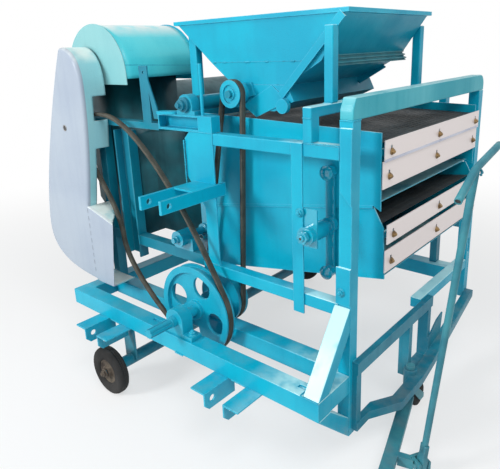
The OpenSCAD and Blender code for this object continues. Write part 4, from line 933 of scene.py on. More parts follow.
@dataclass
class DriveLine:
    """Shaft, pulleys and the two belts.

    Each pulley holds the X and Z of its axis and its groove radius. Wraps are the angles in
    degrees between which the slack belt lies on a pulley. Its strands bend towards upper_pull,
    under_pull and the X crest_pull, and by steps from the fan's axis: crest_end and lower_pull.
    """

    pto_z: float = 402.0
    big_r: float = 161.5
    drum_r: float = 91.5
    fan: Point = (-655.0, 1046.0, 49.0)
    feed: Point = (100.0, 1184.0, 36.0)
    belt_t: float = 13.0
    belt_w: float = 22.0
    fan_belt_y: float = 125.0
    feed_belt_y: float = 270.0
    big_wrap: tuple[float, float] = (243.0, 390.0)
    fan_wrap: tuple[float, float] = (90.0, 229.0)
    upper_pull: tuple[float, float] = (-10.0, 760.0)
    crest_pull: float = -260.0
    crest_end: float = 176.0
    lower_pull: tuple[float, float] = (55.0, 146.0)
    slack_x: float = -415.0
    slack_z: tuple[float, float] = (620.0, 612.0)
    under_pull: tuple[float, float] = (-207.0, 326.0)

    @staticmethod
    def arc(x: float, z: float, radius: float, start: float, end: float, count: int) -> Array:
        """Points of an arc between two angles in degrees."""
        angle = np.radians(np.linspace(start, end, count))
        return np.stack([x + radius * np.cos(angle), z + radius * np.sin(angle)], axis=1)

    def fan_loop(self, t: float) -> Array:
        """Middle line of the slack fan belt, t outside its pulleys.

        The upper strand hangs from the big pulley behind the post to the fan pulley. The lower
        one comes down past the guard box at x = slack_x and swings back under the big pulley.
        Each point that bends a strand moves by a share of t, so that the strand keeps its slack.

        Args:
            t: Distance outside the groove radius.

        Returns:
            Closed polyline in X and Z.
        """
        fan_x, fan_z, fan_r = self.fan
        crest = fan_z + fan_r + t
        side = self.slack_x - t
        (upper_x, upper_z), (lower_x, lower_z) = self.upper_pull, self.lower_pull
        under_x, under_z = self.under_pull
        big = self.arc(0, self.pto_z, self.big_r + t, *self.big_wrap, 60)
        top = bezier(big[-1], (upper_x + 0.8 * t, upper_z + 0.7 * t), (self.crest_pull, crest),
                     (fan_x + self.crest_end, crest), 60)
        small = self.arc(fan_x, fan_z, fan_r + t, *self.fan_wrap, 30)
        down = bezier(small[-1], (fan_x + lower_x - 0.7 * t, fan_z - lower_z - 0.7 * t),
                      (side - 25, upper_z), (side, self.slack_z[0]), 40)
        back = bezier((side, self.slack_z[1]), (side + 5, 480 - 0.3 * t),
                      (under_x - 0.45 * t, under_z - 0.9 * t), big[0], 40)
        return np.vstack([big, top[1:], small, down[1:], back[:-1]])

    def feed_loop(self, t: float) -> Array:
        """Middle line of the straight feed belt, t outside its pulleys.

        Args:
            t: Distance outside the groove radius.

        Returns:
            Closed polyline in X and Z.
        """
        feed_x, feed_z, feed_r = self.feed
        dx, dz = feed_x, feed_z - self.pto_z
        lean = math.degrees(math.acos((self.drum_r - feed_r) / math.hypot(dx, dz)))
        facing = math.degrees(math.atan2(dz, dx))
        drum = self.arc(0, self.pto_z, self.drum_r + t, facing + lean, facing - lean + 360, 50)
        feed = self.arc(feed_x, feed_z, feed_r + t, facing - lean, facing + lean, 30)
        return np.vstack([drum, feed])

    def belt(self, name: str, loop: Array, y: float, node: str) -> Piece:
        """Sweep a trapezoid section along a loop.

        Args:
            name: Name of the piece.
            loop: Middle line in X and Z.
            y: Place of its middle behind the face of the front beam.
            node: CAD node that it replaces.

        Returns:
            The belt.
        """
        loop = resample(loop, 7.0, closed=True)
        path = np.stack([loop[:, 0], np.full(len(loop), y), loop[:, 1]], axis=1)
        w, t = self.belt_w / 2, self.belt_t / 2
        profile = np.array([(-w + 1, -t), (w - 1, -t), (w, -t + 1), (w - 0.6, -t + 4),
                            (w - 4.5, t - 0.6), (w - 5.4, t), (-w + 5.4, t), (-w + 4.5, t - 0.6),
                            (-w + 0.6, -t + 4), (-w, -t + 1)])
        return sweep(name, path, profile, Finish.BELT_CLOTH, "frame", closed=True,
                     hint=(0.0, 1.0, 0.0), stands_for=[node])

    def build(self) -> list[Piece]:
        """Make the belts and dress the shaft and the pulleys.

        Returns:
            The pieces.
        """
        half = self.belt_t / 2
        pieces = [self.belt("fan_belt", self.fan_loop(half), self.fan_belt_y, "belt_fan"),
                  self.belt("feed_belt", self.feed_loop(half), self.feed_belt_y, "belt_feed")]
        pieces += [rounded_copy(node, Finish.CAST_TEAL, 1.2) for node in
                   ("pto_shaft", "big_pulley", "drum_pulley", "fan_pulley", "feed_pulley")]
        pieces += [rounded_copy(node, Finish.DEEP_TEAL_ENAMEL, 1.0) for node in
                   ("fan_rotor", "feed_roller", "damper_tube")]
        return pieces


@dataclass
class BeltGuard:
    """Pressed guard over the fan belt, with a round front edge and notches.

    Each notch holds its lower and upper height and how far it reaches from the rear edge. The
    box has a sloped lid from lid_run left of the right edge to lid_reach right of the box. The
    lid's free edge runs from X cut_start at the front to cut_end at the rear. The share crisp of
    the round edge is left along the box.
    """

    left: float = -911.0
    right: float = -500.0
    box_right: float = -443.0
    top: float = 1364.0
    shoulder: float = 1221.0
    widest: float = 591.0
    box_top: float = 674.0
    box_left: float = 723.0
    box_bottom: float = 392.0
    front: float = 60.0
    depth: float = 108.0
    edge: float = 15.0
    wall: float = 2.6
    lid_run: float = 67.0
    lid_reach: float = 46.0
    lid_slack: float = 3.0
    crisp: float = 0.12
    shaft: tuple[float, float] = (-655.0, 1046.0)
    cut_start: float = -401.0
    cut_end: float = -511.0
    notches: tuple[Point, ...] = ((1075.0, 1175.0, 62.0), (850.0, 965.0, 62.0),
                                  (725.0, 852.0, 62.0))

    def outline(self) -> Array:
        """Outline of the guard in X and Z, from the box top up the right edge and round.

        Four cubic curves follow the photographed edge, each bent by steps from its end points.

        Returns:
            Closed polyline.
        """
        right = bezier((self.right - self.lid_run, self.box_left),
                       (self.right - 22, self.box_left + 177),
                       (self.right + 3, self.shoulder - 140), (self.right, self.shoulder), 60)
        crown = bezier((self.right, self.shoulder), (self.right, self.shoulder + 90),
                       (self.right - 60, self.top + 4), (self.right - 128, self.top - 4), 30)
        left = bezier((self.right - 134, self.top - 10), (self.right - 200, self.shoulder + 19),
                      (self.left + 6, self.widest + 209), (self.left, self.widest), 70)
        foot = bezier((self.left, self.widest), (self.left - 4, self.widest - 161),
                      (self.left + 171, self.box_bottom - 7), (self.box_right, self.box_bottom), 50)
        return np.vstack([right, crown[1:], left, foot[1:],
                          [(self.box_right + self.lid_reach, self.box_top)]])

    def build(self) -> list[Piece]:
        """Make the guard sheet, grey in front with a painted teal reflection on its sides, and its
        seam and its hole.

        Returns:
            The pieces.
        """
        line = resample(self.outline(), 6.0, closed=True)
        depths = self._depths()
        points = self._points(line, depths)
        moved = self._cut_lid(points)
        faces = grid_faces(len(depths), len(line), wrap_columns=True)
        keep = (self._kept(line, np.array(depths)[:, 1]).ravel()
                & ~self._box_side(line, points[faces, 1].mean(axis=1))
                & (moved[faces].sum(axis=1) < 3))
        faces = faces[keep].tolist() + [list(range(len(line)))]
        sheet = make_piece("guard_sheet", points, faces, Finish.GUARD_ENAMEL, "frame", ["guard"])
        # Faces behind the round edge get the teal-tinted grey: painted reflection of the teal
        # frame.
        sheet.data.materials.append(material_of(Finish.GUARD_SIDE))
        centres = np.empty(3 * len(sheet.data.polygons))
        sheet.data.polygons.foreach_get("center", centres)
        painted_reflection_faces = centres[1::3] / MM > self.front + self.edge
        sheet.data.polygons.foreach_set("material_index", painted_reflection_faces.astype(np.int32))
        thicken(sheet, self.wall, even=False)
        return [sheet] + self._trim()

    def _depths(self) -> list[tuple[float, float]]:
        """Inset and Y of each row of points, over the round edge and then down the side."""
        rings = [(self.edge * (1 - math.cos(a)), self.front + self.edge * (1 - math.sin(a)))
                 for a in np.radians([90, 68, 45, 22])]
        return rings + [(0.0, y) for y in np.linspace(self.front + self.edge,
                                                      self.front + self.depth, 13)]

    def _points(self, line: Array, depths: Sequence[tuple[float, float]]) -> Array:
        """Points of the sheet, row by row.

        Point = line + inset * inward * share, and its Y nears the front by the same share, which
        is small along the box, so that the box keeps crisp edges.

        Args:
            line: Outline in X and Z.
            depths: Inset and Y of each row.

        Returns:
            Array of n by 3 points.
        """
        run = np.roll(line, -1, 0) - np.roll(line, 1, 0)
        run /= np.linalg.norm(run, axis=1, keepdims=True)
        inward = np.stack([-run[:, 1], run[:, 0]], axis=1)
        share = np.where((line[:, 0] > self.right - self.lid_run)
                         & (line[:, 1] < self.box_left + 6), self.crisp, 1.0)
        for _ in range(4):
            share = (np.roll(share, 1) + share + np.roll(share, -1)) / 3
        return np.vstack([np.column_stack([
            line[:, 0] + inward[:, 0] * inset * share,
            self.front + (y - self.front) * (share if inset > 0 else np.ones(len(line))),
            line[:, 1] + inward[:, 1] * inset * share]) for inset, y in depths])

    def _kept(self, line: Array, depths: Array) -> Array:
        """Which faces of the side are outside the notches.

        A face is in a notch where its middle lies between the notch's heights, nearer the rear
        edge than the notch's reach, and on the right side of the guard.

        Args:
            line: Outline in X and Z.
            depths: Y of each row.

        Returns:
            Rows by columns of True and False.
        """
        z = (line[:, 1] + np.roll(line[:, 1], -1)) / 2
        on_right = np.minimum(line[:, 0], np.roll(line[:, 0], -1)) > self.right - 90
        deep = (depths[1:] + depths[:-1]) / 2
        kept = np.ones((len(deep), len(line)), bool)
        for low, high, reach in self.notches:
            kept &= ~((on_right & (low < z) & (z < high))[None, :]
                      & (deep > self.front + self.depth - reach)[:, None])
        return kept

    def _box_side(self, line: Array, depth: Array) -> Array:
        """Which faces belong to the open right side of the box, behind its front edge.

        Args:
            line: Outline in X and Z.
            depth: Mean Y of each face.

        Returns:
            True or False for each face.
        """
        z = (line[:, 1] + np.roll(line[:, 1], -1)) / 2
        in_box = ((line[:, 0] > self.box_right - 12) & (z > self.box_bottom + 4)
                  & (z < self.box_top + 1))
        return np.tile(in_box, len(depth) // len(line)) & (depth > self.front + 3)

    def _cut_lid(self, points: Array) -> Array:
        """Move the sloped lid of the box onto its diagonal edge.

        The edge is x(y) = cut_start + (y - front) / depth * (cut_end - cut_start), and points of
        the lid to its right slide along the slope to it.

        Args:
            points: Points of the sheet, changed in place.

        Returns:
            True for each point that was moved.
        """
        corner = self.box_right + self.lid_reach
        slope = (self.box_left - self.box_top) / (corner - self.right + self.lid_run)
        edge = (self.cut_start + (points[:, 1] - self.front) / self.depth
                * (self.cut_end - self.cut_start))
        lid_z = self.box_top + (corner - points[:, 0]) * slope
        moved = ((points[:, 1] > self.front + self.edge - 1) & (points[:, 0] > edge)
                 & (np.abs(points[:, 2] - lid_z) < self.lid_slack))
        points[moved, 2] += (points[moved, 0] - edge[moved]) * slope
        points[moved, 0] = edge[moved]
        return moved

    def _trim(self) -> list[Piece]:
        """Dashed box seam and the ring of the shaft hole."""
        x, y = self.right - self.lid_run, self.front - 0.2
        dashes = [weld(f"seam_dash_{n}", [(x, y, z), (x, y, z - 20)], 0.9, "frame",
                       finish=Finish.GUARD_SHADE, seed=5 + n)
                  for n, z in enumerate(range(716, 450, -33))]
        seam = merge_pieces("guard_seam", dashes)
        x, z = self.shaft
        ring = [(9, 0), (12.5, 0), (12.5, 3), (9, 3), (9, 0)]
        hole = lathe("guard_hole", (x, self.front - 1.5, z), Axis.Y, ring, Finish.WORN_STEEL,
                     "frame", count=28)
        shade = [(AXIS_R, 0), (9.4, 0), (9.4, 1), (AXIS_R, 1)]
        dark = lathe("guard_hole_shade", (x, self.front - 0.6, z), Axis.Y, shade,
                     Finish.SIEVE_SHEET, "frame", count=24)
        return [seam, hole, dark]


@dataclass(frozen=True)
class Level:
    """Rectangle of the hopper at one height."""

    left: float
    right: float
    front: float
    rear: float
    z: float


@dataclass
class Hopper:
    """Sheet hopper with its rim, seam tacks, corner bar, bracket and ribbed rail.

    The bracket's ends are given in Y and Z, the bar's foot in X and Z, and the tacks as steps
    from the left end of the seam.
    """

    rim: Level = Level(-216.0, 523.0, 314.0, 883.0, 1434.0)
    seam: Level = Level(-50.0, 426.0, 324.0, 861.0, 1287.0)
    throat_right: float = 292.0
    bracket_top: tuple[float, float] = (865.0, 1250.0)
    bracket_foot: tuple[float, float] = (760.0, 1196.0)
    bar_foot: tuple[float, float] = (268.0, 1176.0)
    tacks: tuple[float, ...] = (4.0, 52.0, 150.0, 162.0, 244.0, 350.0)
    tack_run: float = 16.0
    ribs: int = 4
    rib_depth: float = 5.0

    def build(self) -> list[Piece]:
        """Dress the hopper and add its small parts.

        Returns:
            The pieces.
        """
        return [rounded_copy("hopper", Finish.TEAL_ENAMEL, 1.2),
                rounded_copy("throat", Finish.TEAL_ENAMEL, 0.8), self._corner_bar(),
                self._seam_tacks(), self._ribbed_rail(), self._side_bracket()]

    def _side_bracket(self) -> Piece:
        """Flat bracket on the right wall, from the rail down to the throat."""
        x = self.throat_right + 8
        path = np.linspace((x + 52, *self.bracket_top), (x, *self.bracket_foot), 8)
        section = np.array([(-2.0, -15), (2, -15), (2, 15), (-2, 15)])
        return sweep("hopper_side_bracket", path, section, Finish.TEAL_ENAMEL, "frame",
                     hint=(0.5, 0.0, 0.85), flat=True)

    def _corner_bar(self) -> Piece:
        """Flat bar across the front right corner, from the throat to the rim."""
        start = (self.bar_foot[0], self.seam.front - 5, self.bar_foot[1])
        end = (self.rim.right - 14, self.rim.front - 4, self.rim.z - 16)
        section = np.array([(-13, -4), (13, -4), (13, 3), (-13, 3)])
        return sweep("hopper_corner_bar", np.linspace(start, end, 24), section, Finish.TEAL_ENAMEL,
                     "frame", hint=(1.0, 0.0, -0.8), flat=True)

    def _seam_tacks(self) -> Piece:
        """Welded seam between the hopper sheets: a thin line with thicker tacks on it."""
        left, right, y, z = (self.seam.left + 10, self.seam.right - 20, self.seam.front,
                             self.seam.z)
        spots = [left + step for step in self.tacks] + [right - 30]
        parts = [weld("seam_line", [(left, y, z), (right, y, z)], 1.3, "frame", 3)]
        parts += [weld(f"seam_tack_{n}", [(x, y - 0.5, z), (x + self.tack_run, y - 0.5, z)], 3.2,
                       "frame", 20 + n) for n, x in enumerate(spots)]
        return merge_pieces("hopper_seam", parts)

    def _ribbed_rail(self) -> Piece:
        """Ribbed rail under the right wall, along the seam.

        Its section is x = 4 + 22 t + rib_depth * sin(2 pi ribs t) and z = -28 + 46 t.
        """
        wave = np.linspace(0, 1, 25)
        ribs = self.rib_depth * np.sin(wave * 2 * self.ribs * math.pi)
        outer = np.column_stack([4 + 22 * wave + ribs, -28 + 46 * wave])
        profile = np.vstack([outer, outer[::-1] + np.array([-4.0, 1.0])])
        path = np.array([(self.seam.right, y, self.seam.z)
                         for y in np.linspace(self.seam.front + 6, self.seam.rear - 6, 6)])
        return sweep("ribbed_rail", path, profile, Finish.WEATHERED_TEAL, "frame",
                     hint=(1.0, 0.0, 0.0))


@dataclass
class Hood:
    """Half round hood over the fan outlet."""

    x: float = -558.0
    z: float = 1252.0
    radius: float = 190.0
    front: float = 178.0
    rear: float = 550.0
    skirt: float = 1236.0
    left_skirt: float = 1214.0
    flange: float = 4.0
    sheet: float = 2.5
    bead_z: tuple[float, float] = (1288.0, 1271.0)

    def build(self) -> list[Piece]:
        """Make the sheet, its two discs, its seam bead and the fan casing.

        A point of the arch is (x + radius cos a, z + radius sin a) for a from 0 to 180 degrees.

        Returns:
            The pieces.
        """
        angle = np.linspace(0, math.pi, 61)
        arch = np.column_stack([self.x + self.radius * np.cos(angle),
                                self.z + self.radius * np.sin(angle)])
        line = np.vstack([[(self.x + self.radius, self.skirt)], arch,
                          [(self.x - self.radius, self.left_skirt)]])
        rows = np.linspace(self.front + 2, self.rear, 12)
        points = np.stack(np.broadcast_arrays(line[None, :, 0], rows[:, None], line[None, :, 1]),
                          axis=-1).reshape(-1, 3)
        faces = grid_faces(len(rows), len(line)).tolist()
        sheet = make_piece("hood_sheet", points, faces, Finish.HOOD_ENAMEL, "frame", ["hood"])
        thicken(sheet, self.sheet)
        disc_r = self.radius + self.flange
        disc = np.vstack([[(self.x + disc_r, self.left_skirt)],
                          np.column_stack([self.x + disc_r * np.cos(angle),
                                           self.z + disc_r * np.sin(angle)]),
                          [(self.x - disc_r, self.left_skirt)]])
        face = plate("hood_front", disc, self.front - 1, self.front + self.sheet,
                     Finish.HOOD_FACE, "frame", 0.8)
        back = plate("hood_back", disc, self.rear - self.sheet, self.rear + 1,
                     Finish.TEAL_ENAMEL, "frame", 0.8)
        edge_x = self.x + self.radius
        seam = weld("hood_seam", [(edge_x - 3.5, self.front + 4, self.bead_z[0]),
                                  (edge_x - 2, self.rear - 6, self.bead_z[1])], 1.2, "frame",
                    11, Finish.TEAL_ENAMEL)
        # The fan casing is near-black teal: painted shade behind the hood.
        return [sheet, face, back, seam, rounded_copy("fan_casing", Finish.CASING_TEAL, 0.0)]


@dataclass
class Wheels:
    """Solid rubber transport wheels and the caster wheel.

    Profiles hold the radius and the place along the axle of each corner.
    """

    tyre: Pairs = (
        (50, 9), (53, 6), (60, 4.5), (76, 2.2), (84, 2), (91, 4), (96.5, 8), (99.3, 14),
        (100, 19), (97.6, 19.6), (97.6, 22.4), (100, 23), (100, 27), (97.6, 27.6), (97.6, 30.4),
        (100, 31), (99.3, 36), (96.5, 42), (91, 46), (84, 48), (76, 47.8), (60, 45.5), (53, 44),
        (50, 41), (50, 9))
    hub: Pairs = (
        (10.4, 1), (22, 1), (24, 3), (25, 12), (30, 15), (44, 15), (47, 11), (50.5, 10),
        (50.5, 40), (47, 39), (44, 35), (30, 35), (25, 38), (24, 47), (22, 49), (10.4, 49),
        (10.4, 1))
    caster_section: Pairs = (
        (8.2, -18), (30, -18), (32, -15), (36, -15), (42, -14), (45, -8), (45, 8), (42, 14),
        (36, 15), (32, 15), (30, 18), (8.2, 18), (8.2, -18))
    axle_x: float = -342.0
    radius: float = 100.0
    near_y: float = -90.0
    far_y: float = 1258.0
    width: float = 50.0
    nut_gap: float = 4.0
    nut_r: float = 14.0
    caster: Point = (664.0, 605.0, 45.0)

    def build(self) -> list[Piece]:
        """Make tyres, hubs and nuts.

        Returns:
            The pieces.
        """
        pieces = []
        for name, y, nut_y, sign in (
                ("near", self.near_y, self.near_y - self.nut_gap, -1.0),
                ("far", self.far_y, self.far_y + self.width + self.nut_gap, 1.0)):
            centre, body = (self.axle_x, y, self.radius), f"{name}_wheel"
            pieces.append(lathe(f"{name}_tyre", centre, Axis.Y, self.tyre, Finish.TYRE_RUBBER,
                                body, [f"wheel_{name}"], 72))
            pieces.append(lathe(f"{name}_hub", centre, Axis.Y, self.hub, Finish.RUSTY_HUB, body,
                                count=40))
            nut = hex_bolt(f"{name}_nut", (self.axle_x, nut_y, self.radius), Axis.Y, sign,
                           self.nut_r, Finish.RUSTY_HUB, "frame")
            pieces.append(merge_pieces(f"{name}_axle_nut", nut))
        pieces.append(lathe("caster_tyre", self.caster, Axis.X, self.caster_section,
                            Finish.TYRE_RUBBER, "caster", ["caster_wheel"], 56))
        return pieces


@dataclass
class TowPole:
    """Pull pole with its foot and bent handle.

    The pole leans by tilt degrees towards pull, an angle from X in the level. The two arms of
    the handle leave its top along front_way and rear_way.
    """

    clevis: Point = (834.0, 270.0, 54.0)
    tilt: float = 7.5
    pull: float = -30.5
    foot: float = 60.0
    length: float = 989.0
    pole_r: float = 10.0
    handle_r: float = 9.5
    wall: float = 2.4
    front_arm: float = 120.0
    rear_arm: float = 172.0
    front_way: Point = (0.0, -0.883, -0.469)
    rear_way: Point = (0.0, 0.984, 0.18)

    def build(self) -> list[Piece]:
        """Make the pole and the handle tube.

        The pole runs along up = (sin tilt cos pull, sin tilt sin pull, cos tilt).

        Returns:
            The pieces.
        """
        tilt, pull = math.radians(self.tilt), math.radians(self.pull)
        up = np.array([math.sin(tilt) * math.cos(pull), math.sin(tilt) * math.sin(pull),
                       math.cos(tilt)])
        base = np.asarray(self.clevis)
        top = base + up * self.length
        across = np.array([-math.sin(pull), math.cos(pull), 0.0])
        foot_end = self.foot + 26
        steps = np.linspace(-14, foot_end, 20)
        flat = np.array([(-9, -16), (-10, -15), (-10, 15), (-9, 16), (9, 16), (10, 15), (10, -15),
                         (9, -16)], float)
        squeeze = np.clip((foot_end - steps) / 60, 0.78, 1.0)
        foot = sweep("pole_foot", base + steps[:, None] * up, flat, Finish.WEATHERED_TEAL, "pole",
                     hint=across, scale=squeeze)
        pole = sweep("pole_tube", base + np.linspace(self.foot, self.length, 24)[:, None] * up,
                     circle(self.pole_r, 28), Finish.WEATHERED_TEAL, "pole", hint=across,
                     stands_for=["pull_pole"])
        down = np.array(self.front_way) * self.front_arm
        back = np.array(self.rear_way) * self.rear_arm
        bend = bezier(top + down * 0.2, top + down * 0.03, top + back * 0.03, top + back * 0.16, 12)
        path = np.vstack([np.linspace(top + down, top + down * 0.2, 8)[:-1], bend,
                          np.linspace(top + back * 0.16, top + back, 8)[1:]])
        collar = weld("handle_weld", [top + (12, 0, -16), top + (12, 12, -8), top + (4, 16, -4)],
                      3.0, "pole", 9, Finish.DEEP_TEAL_ENAMEL)
        return [foot, pole, self._open_tube(path), self._tube_mouth_shade(path), collar]

    def _tube_mouth_shade(self, path: Array) -> Piece:
        """Dark disc a little inside the near end of the handle tube: painted shade of the hollow.
        """
        first, second = path_frames(path, False, np.array([1.0, 0.0, 0.0]))
        ring = circle(self.handle_r - self.wall - 0.1, 28)
        inward = (path[1] - path[0]) / np.linalg.norm(path[1] - path[0])
        points = path[0] + 2.0 * inward + ring[:, :1] * first[0] + ring[:, 1:] * second[0]
        return make_piece("handle_mouth_painted_shade", points, [range(len(ring))], Finish.SIEVE_SHEET, "pole",
                          flat=True)

    def _open_tube(self, path: Array) -> Piece:
        """Sweep an open tube with a wall, so that its ends are hollow.

        Point = path(u) + ring_x(v) * first(u) + ring_y(v) * second(u).
        """
        ring = circle(self.handle_r, 28)
        first, second = path_frames(path, False, np.array([1.0, 0.0, 0.0]))
        points = (path[:, None, :] + ring[None, :, :1] * first[:, None, :]
                  + ring[None, :, 1:] * second[:, None, :]).reshape(-1, 3)
        tube = make_piece("pole_handle", points,
                          grid_faces(len(path), len(ring), False, True).tolist(),
                          Finish.WEATHERED_TEAL, "pole")
        thicken(tube, self.wall)
        return tube


@dataclass
class SieveDeck:
    """Slotted sieve sheet between two corners, with pitch and slot along Y and along X."""

    name: str
    node: str
    body: str
    ends: tuple[Point, Point]
    pitch: tuple[float, float]
    slot: tuple[float, float]
    border: float = 16.0
    above: float = 8.0

    def build(self) -> list[Piece]:
        """Make the sheet: grid cells that fall in a slot are left out.

        Returns:
            The piece.
        """
        (x0, y0, z0), (x1, y1, z1) = self.ends
        xs = self._lines(x0, x1, self.pitch[1], self.slot[1])
        ys = self._lines(y0, y1, self.pitch[0], self.slot[0])
        grid_x, grid_y = np.meshgrid(xs, ys)
        grid_z = z0 + (z1 - z0) * (grid_x - x0) / (x1 - x0) + self.above
        points = np.stack([grid_x, grid_y, grid_z], axis=-1).reshape(-1, 3)
        cells = grid_faces(len(ys), len(xs)).reshape(len(ys) - 1, len(xs) - 1, 4)
        open_x, open_y = (np.arange(len(v) - 1) % 2 == 1 for v in (xs, ys))
        keep = ~(open_y[:, None] & open_x[None, :])
        sheet = make_piece(self.name, points, cells[keep].tolist(), Finish.SIEVE_SHEET, self.body,
                           [self.node], flat=True)
        thicken(sheet, 1.6)
        return [sheet]

    def _lines(self, low: float, high: float, pitch: float, slot: float) -> Array:
        """Grid lines along one axis: the two ends, and both sides of each slot between them.

        Args:
            low: Lower end of the sheet.
            high: Upper end of the sheet.
            pitch: Distance from one slot to the next.
            slot: Length of a slot along this axis.

        Returns:
            Rising places of the lines.
        """
        count = int((high - low - 2 * self.border) // pitch)
        first = low + (high - low - count * pitch) / 2
        starts = first + np.arange(count) * pitch + (pitch - slot) / 2
        return np.concatenate([[low], np.stack([starts, starts + slot], 1).ravel(), [high]])


@dataclass
class Shoes:
    """Sieve shoes, their decks, end boards and rockers.

    A row of boards holds the lower and upper height of a board and how far it stands out. Each
    bead on the rocker runs between two heights from its pivot. The lip is given in X and Z.
    """

    boards: tuple[tuple[int, int, float], ...] = (
        (1003, 1064, 6.0), (917, 1001, 1.0), (749, 811, 21.0), (655, 728, 16.0))
    beads: tuple[tuple[int, int], ...] = ((-120, -70), (-58, -34), (38, 70), (84, 130))
    lip: Pairs = ((-98, 745), (622, 855), (624, 866), (-98, 756))
    bolt_inset: float = 40.0
    bolt_below: float = 7.0
    bolt_r: float = 8.0
    front: float = 300.0
    rear: float = 1085.0
    right: float = 650.0
    rocker_x: float = 480.0
    pivot_z: float = 781.0
    pin_y: float = 132.0
    pin_hole_y: float = 125.8
    hub_y: float = 263.0
    arm_y: float = 287.0
    hubs: tuple[float, float] = (954.0, 621.0)

    def build(self) -> list[Piece]:
        """Make every piece of the shoes.

        Returns:
            The pieces.
        """
        pieces = [rounded_copy(node, Finish.TEAL_ENAMEL, 0.9)
                  for node in ("upper_shoe", "lower_shoe")]
        pieces += [rounded_copy(node, Finish.GLOSSY_TEAL, 1.6) for node in
                   ("rocker_right", "rocker_left")]
        pieces += SieveDeck("upper_sieve_sheet", "upper_sieve", "upper_shoe_body",
                            ends=((-95, 305, 1070), (638, 1080, 1046)), pitch=(9.0, 20.0),
                            slot=(3.4, 14.0)).build()
        pieces += SieveDeck("lower_sieve_sheet", "lower_sieve", "lower_shoe_body",
                            ends=((-95, 311, 715), (638, 1074, 795)), pitch=(12.0, 30.0),
                            slot=(4.0, 21.0)).build()
        pieces.append(plate("shoe_lip", self.lip, self.front + 0.2, self.front + 1.8,
                            Finish.TEAL_ENAMEL, "upper_shoe_body", 0.5))
        return pieces + self._boards() + self._rocker_caps()

    def _rocker_caps(self) -> list[Piece]:
        """Domed caps on the hubs of the near right rocker, its pin end and its weld beads."""
        x, body = self.rocker_x, body_of("rocker_right")
        dome = [(AXIS_R, -11.0), (6, -10.4), (12, -8.6), (18, -5), (22, 0), (23.5, 1), (23.5, 6),
                (AXIS_R, 6)]
        parts = [lathe(f"rocker_cap_{z}", (x, self.hub_y, z), Axis.Y, dome, Finish.GLOSSY_TEAL,
                       body, count=36) for z in self.hubs]
        pin = [(AXIS_R, -6.0), (9, -6), (10, -5), (10, 1), (AXIS_R, 1)]
        parts.append(lathe("rocker_pin_end", (x, self.pin_y, self.pivot_z), Axis.Y, pin,
                           Finish.GLOSSY_TEAL, body))
        bead_x, bead_y = x + 13, self.arm_y - 1
        parts += [weld(f"rocker_bead_{n}", [(bead_x, bead_y, self.pivot_z + low),
                                            (bead_x, bead_y, self.pivot_z + high)], 2.2, body,
                       80 + n) for n, (low, high) in enumerate(self.beads)]
        # Dark disc at the pin end: painted shade of the pin hole.
        hole = lathe("rocker_pin_hole_painted_shade", (x, self.pin_hole_y, self.pivot_z), Axis.Y,
                     [(AXIS_R, 0), (4.5, 0), (4.5, 0.8), (AXIS_R, 0.8)], Finish.SIEVE_SHEET, body,
                     count=20)
        return [merge_pieces("rocker_caps", parts), hole]

    def _boards(self) -> list[Piece]:
        """End boards with folded top edges, and their bolts."""
        pieces = [rounded_copy(f"board_{n}", Finish.BOARD_SHEET, 0.8) for n in (1, 2, 3, 4)]
        lip = self.right + 9.0
        pieces.append(box_bar("board_fold", (lip, self.front, 999), (lip + 1.6, self.rear, 1008),
                              Finish.FOLD_SHEET, body_of("board_1"), 0.4))
        bolts: dict[str, list[Piece]] = {"upper": [], "lower": []}
        places = (self.front + self.bolt_inset, (self.front + self.rear) / 2,
                  self.rear - self.bolt_inset)
        for number, (low, high, stand) in enumerate(self.boards):
            part = "upper" if number < 2 else "lower"
            z = (low + high) / 2 - self.bolt_below
            for y in places:
                bolts[part] += hex_bolt(f"board_bolt_{number}_{int(y)}",
                                        (self.right + stand + 4.5, y, z), Axis.X, 1.0,
                                        self.bolt_r, Finish.BRASS_BOLT, part + "_shoe_body")
        for part, heads in bolts.items():
            joined = merge_pieces(f"{part}_bolt_heads", heads)
            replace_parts(joined, part + "_bolts")
            pieces.append(joined)
        return pieces


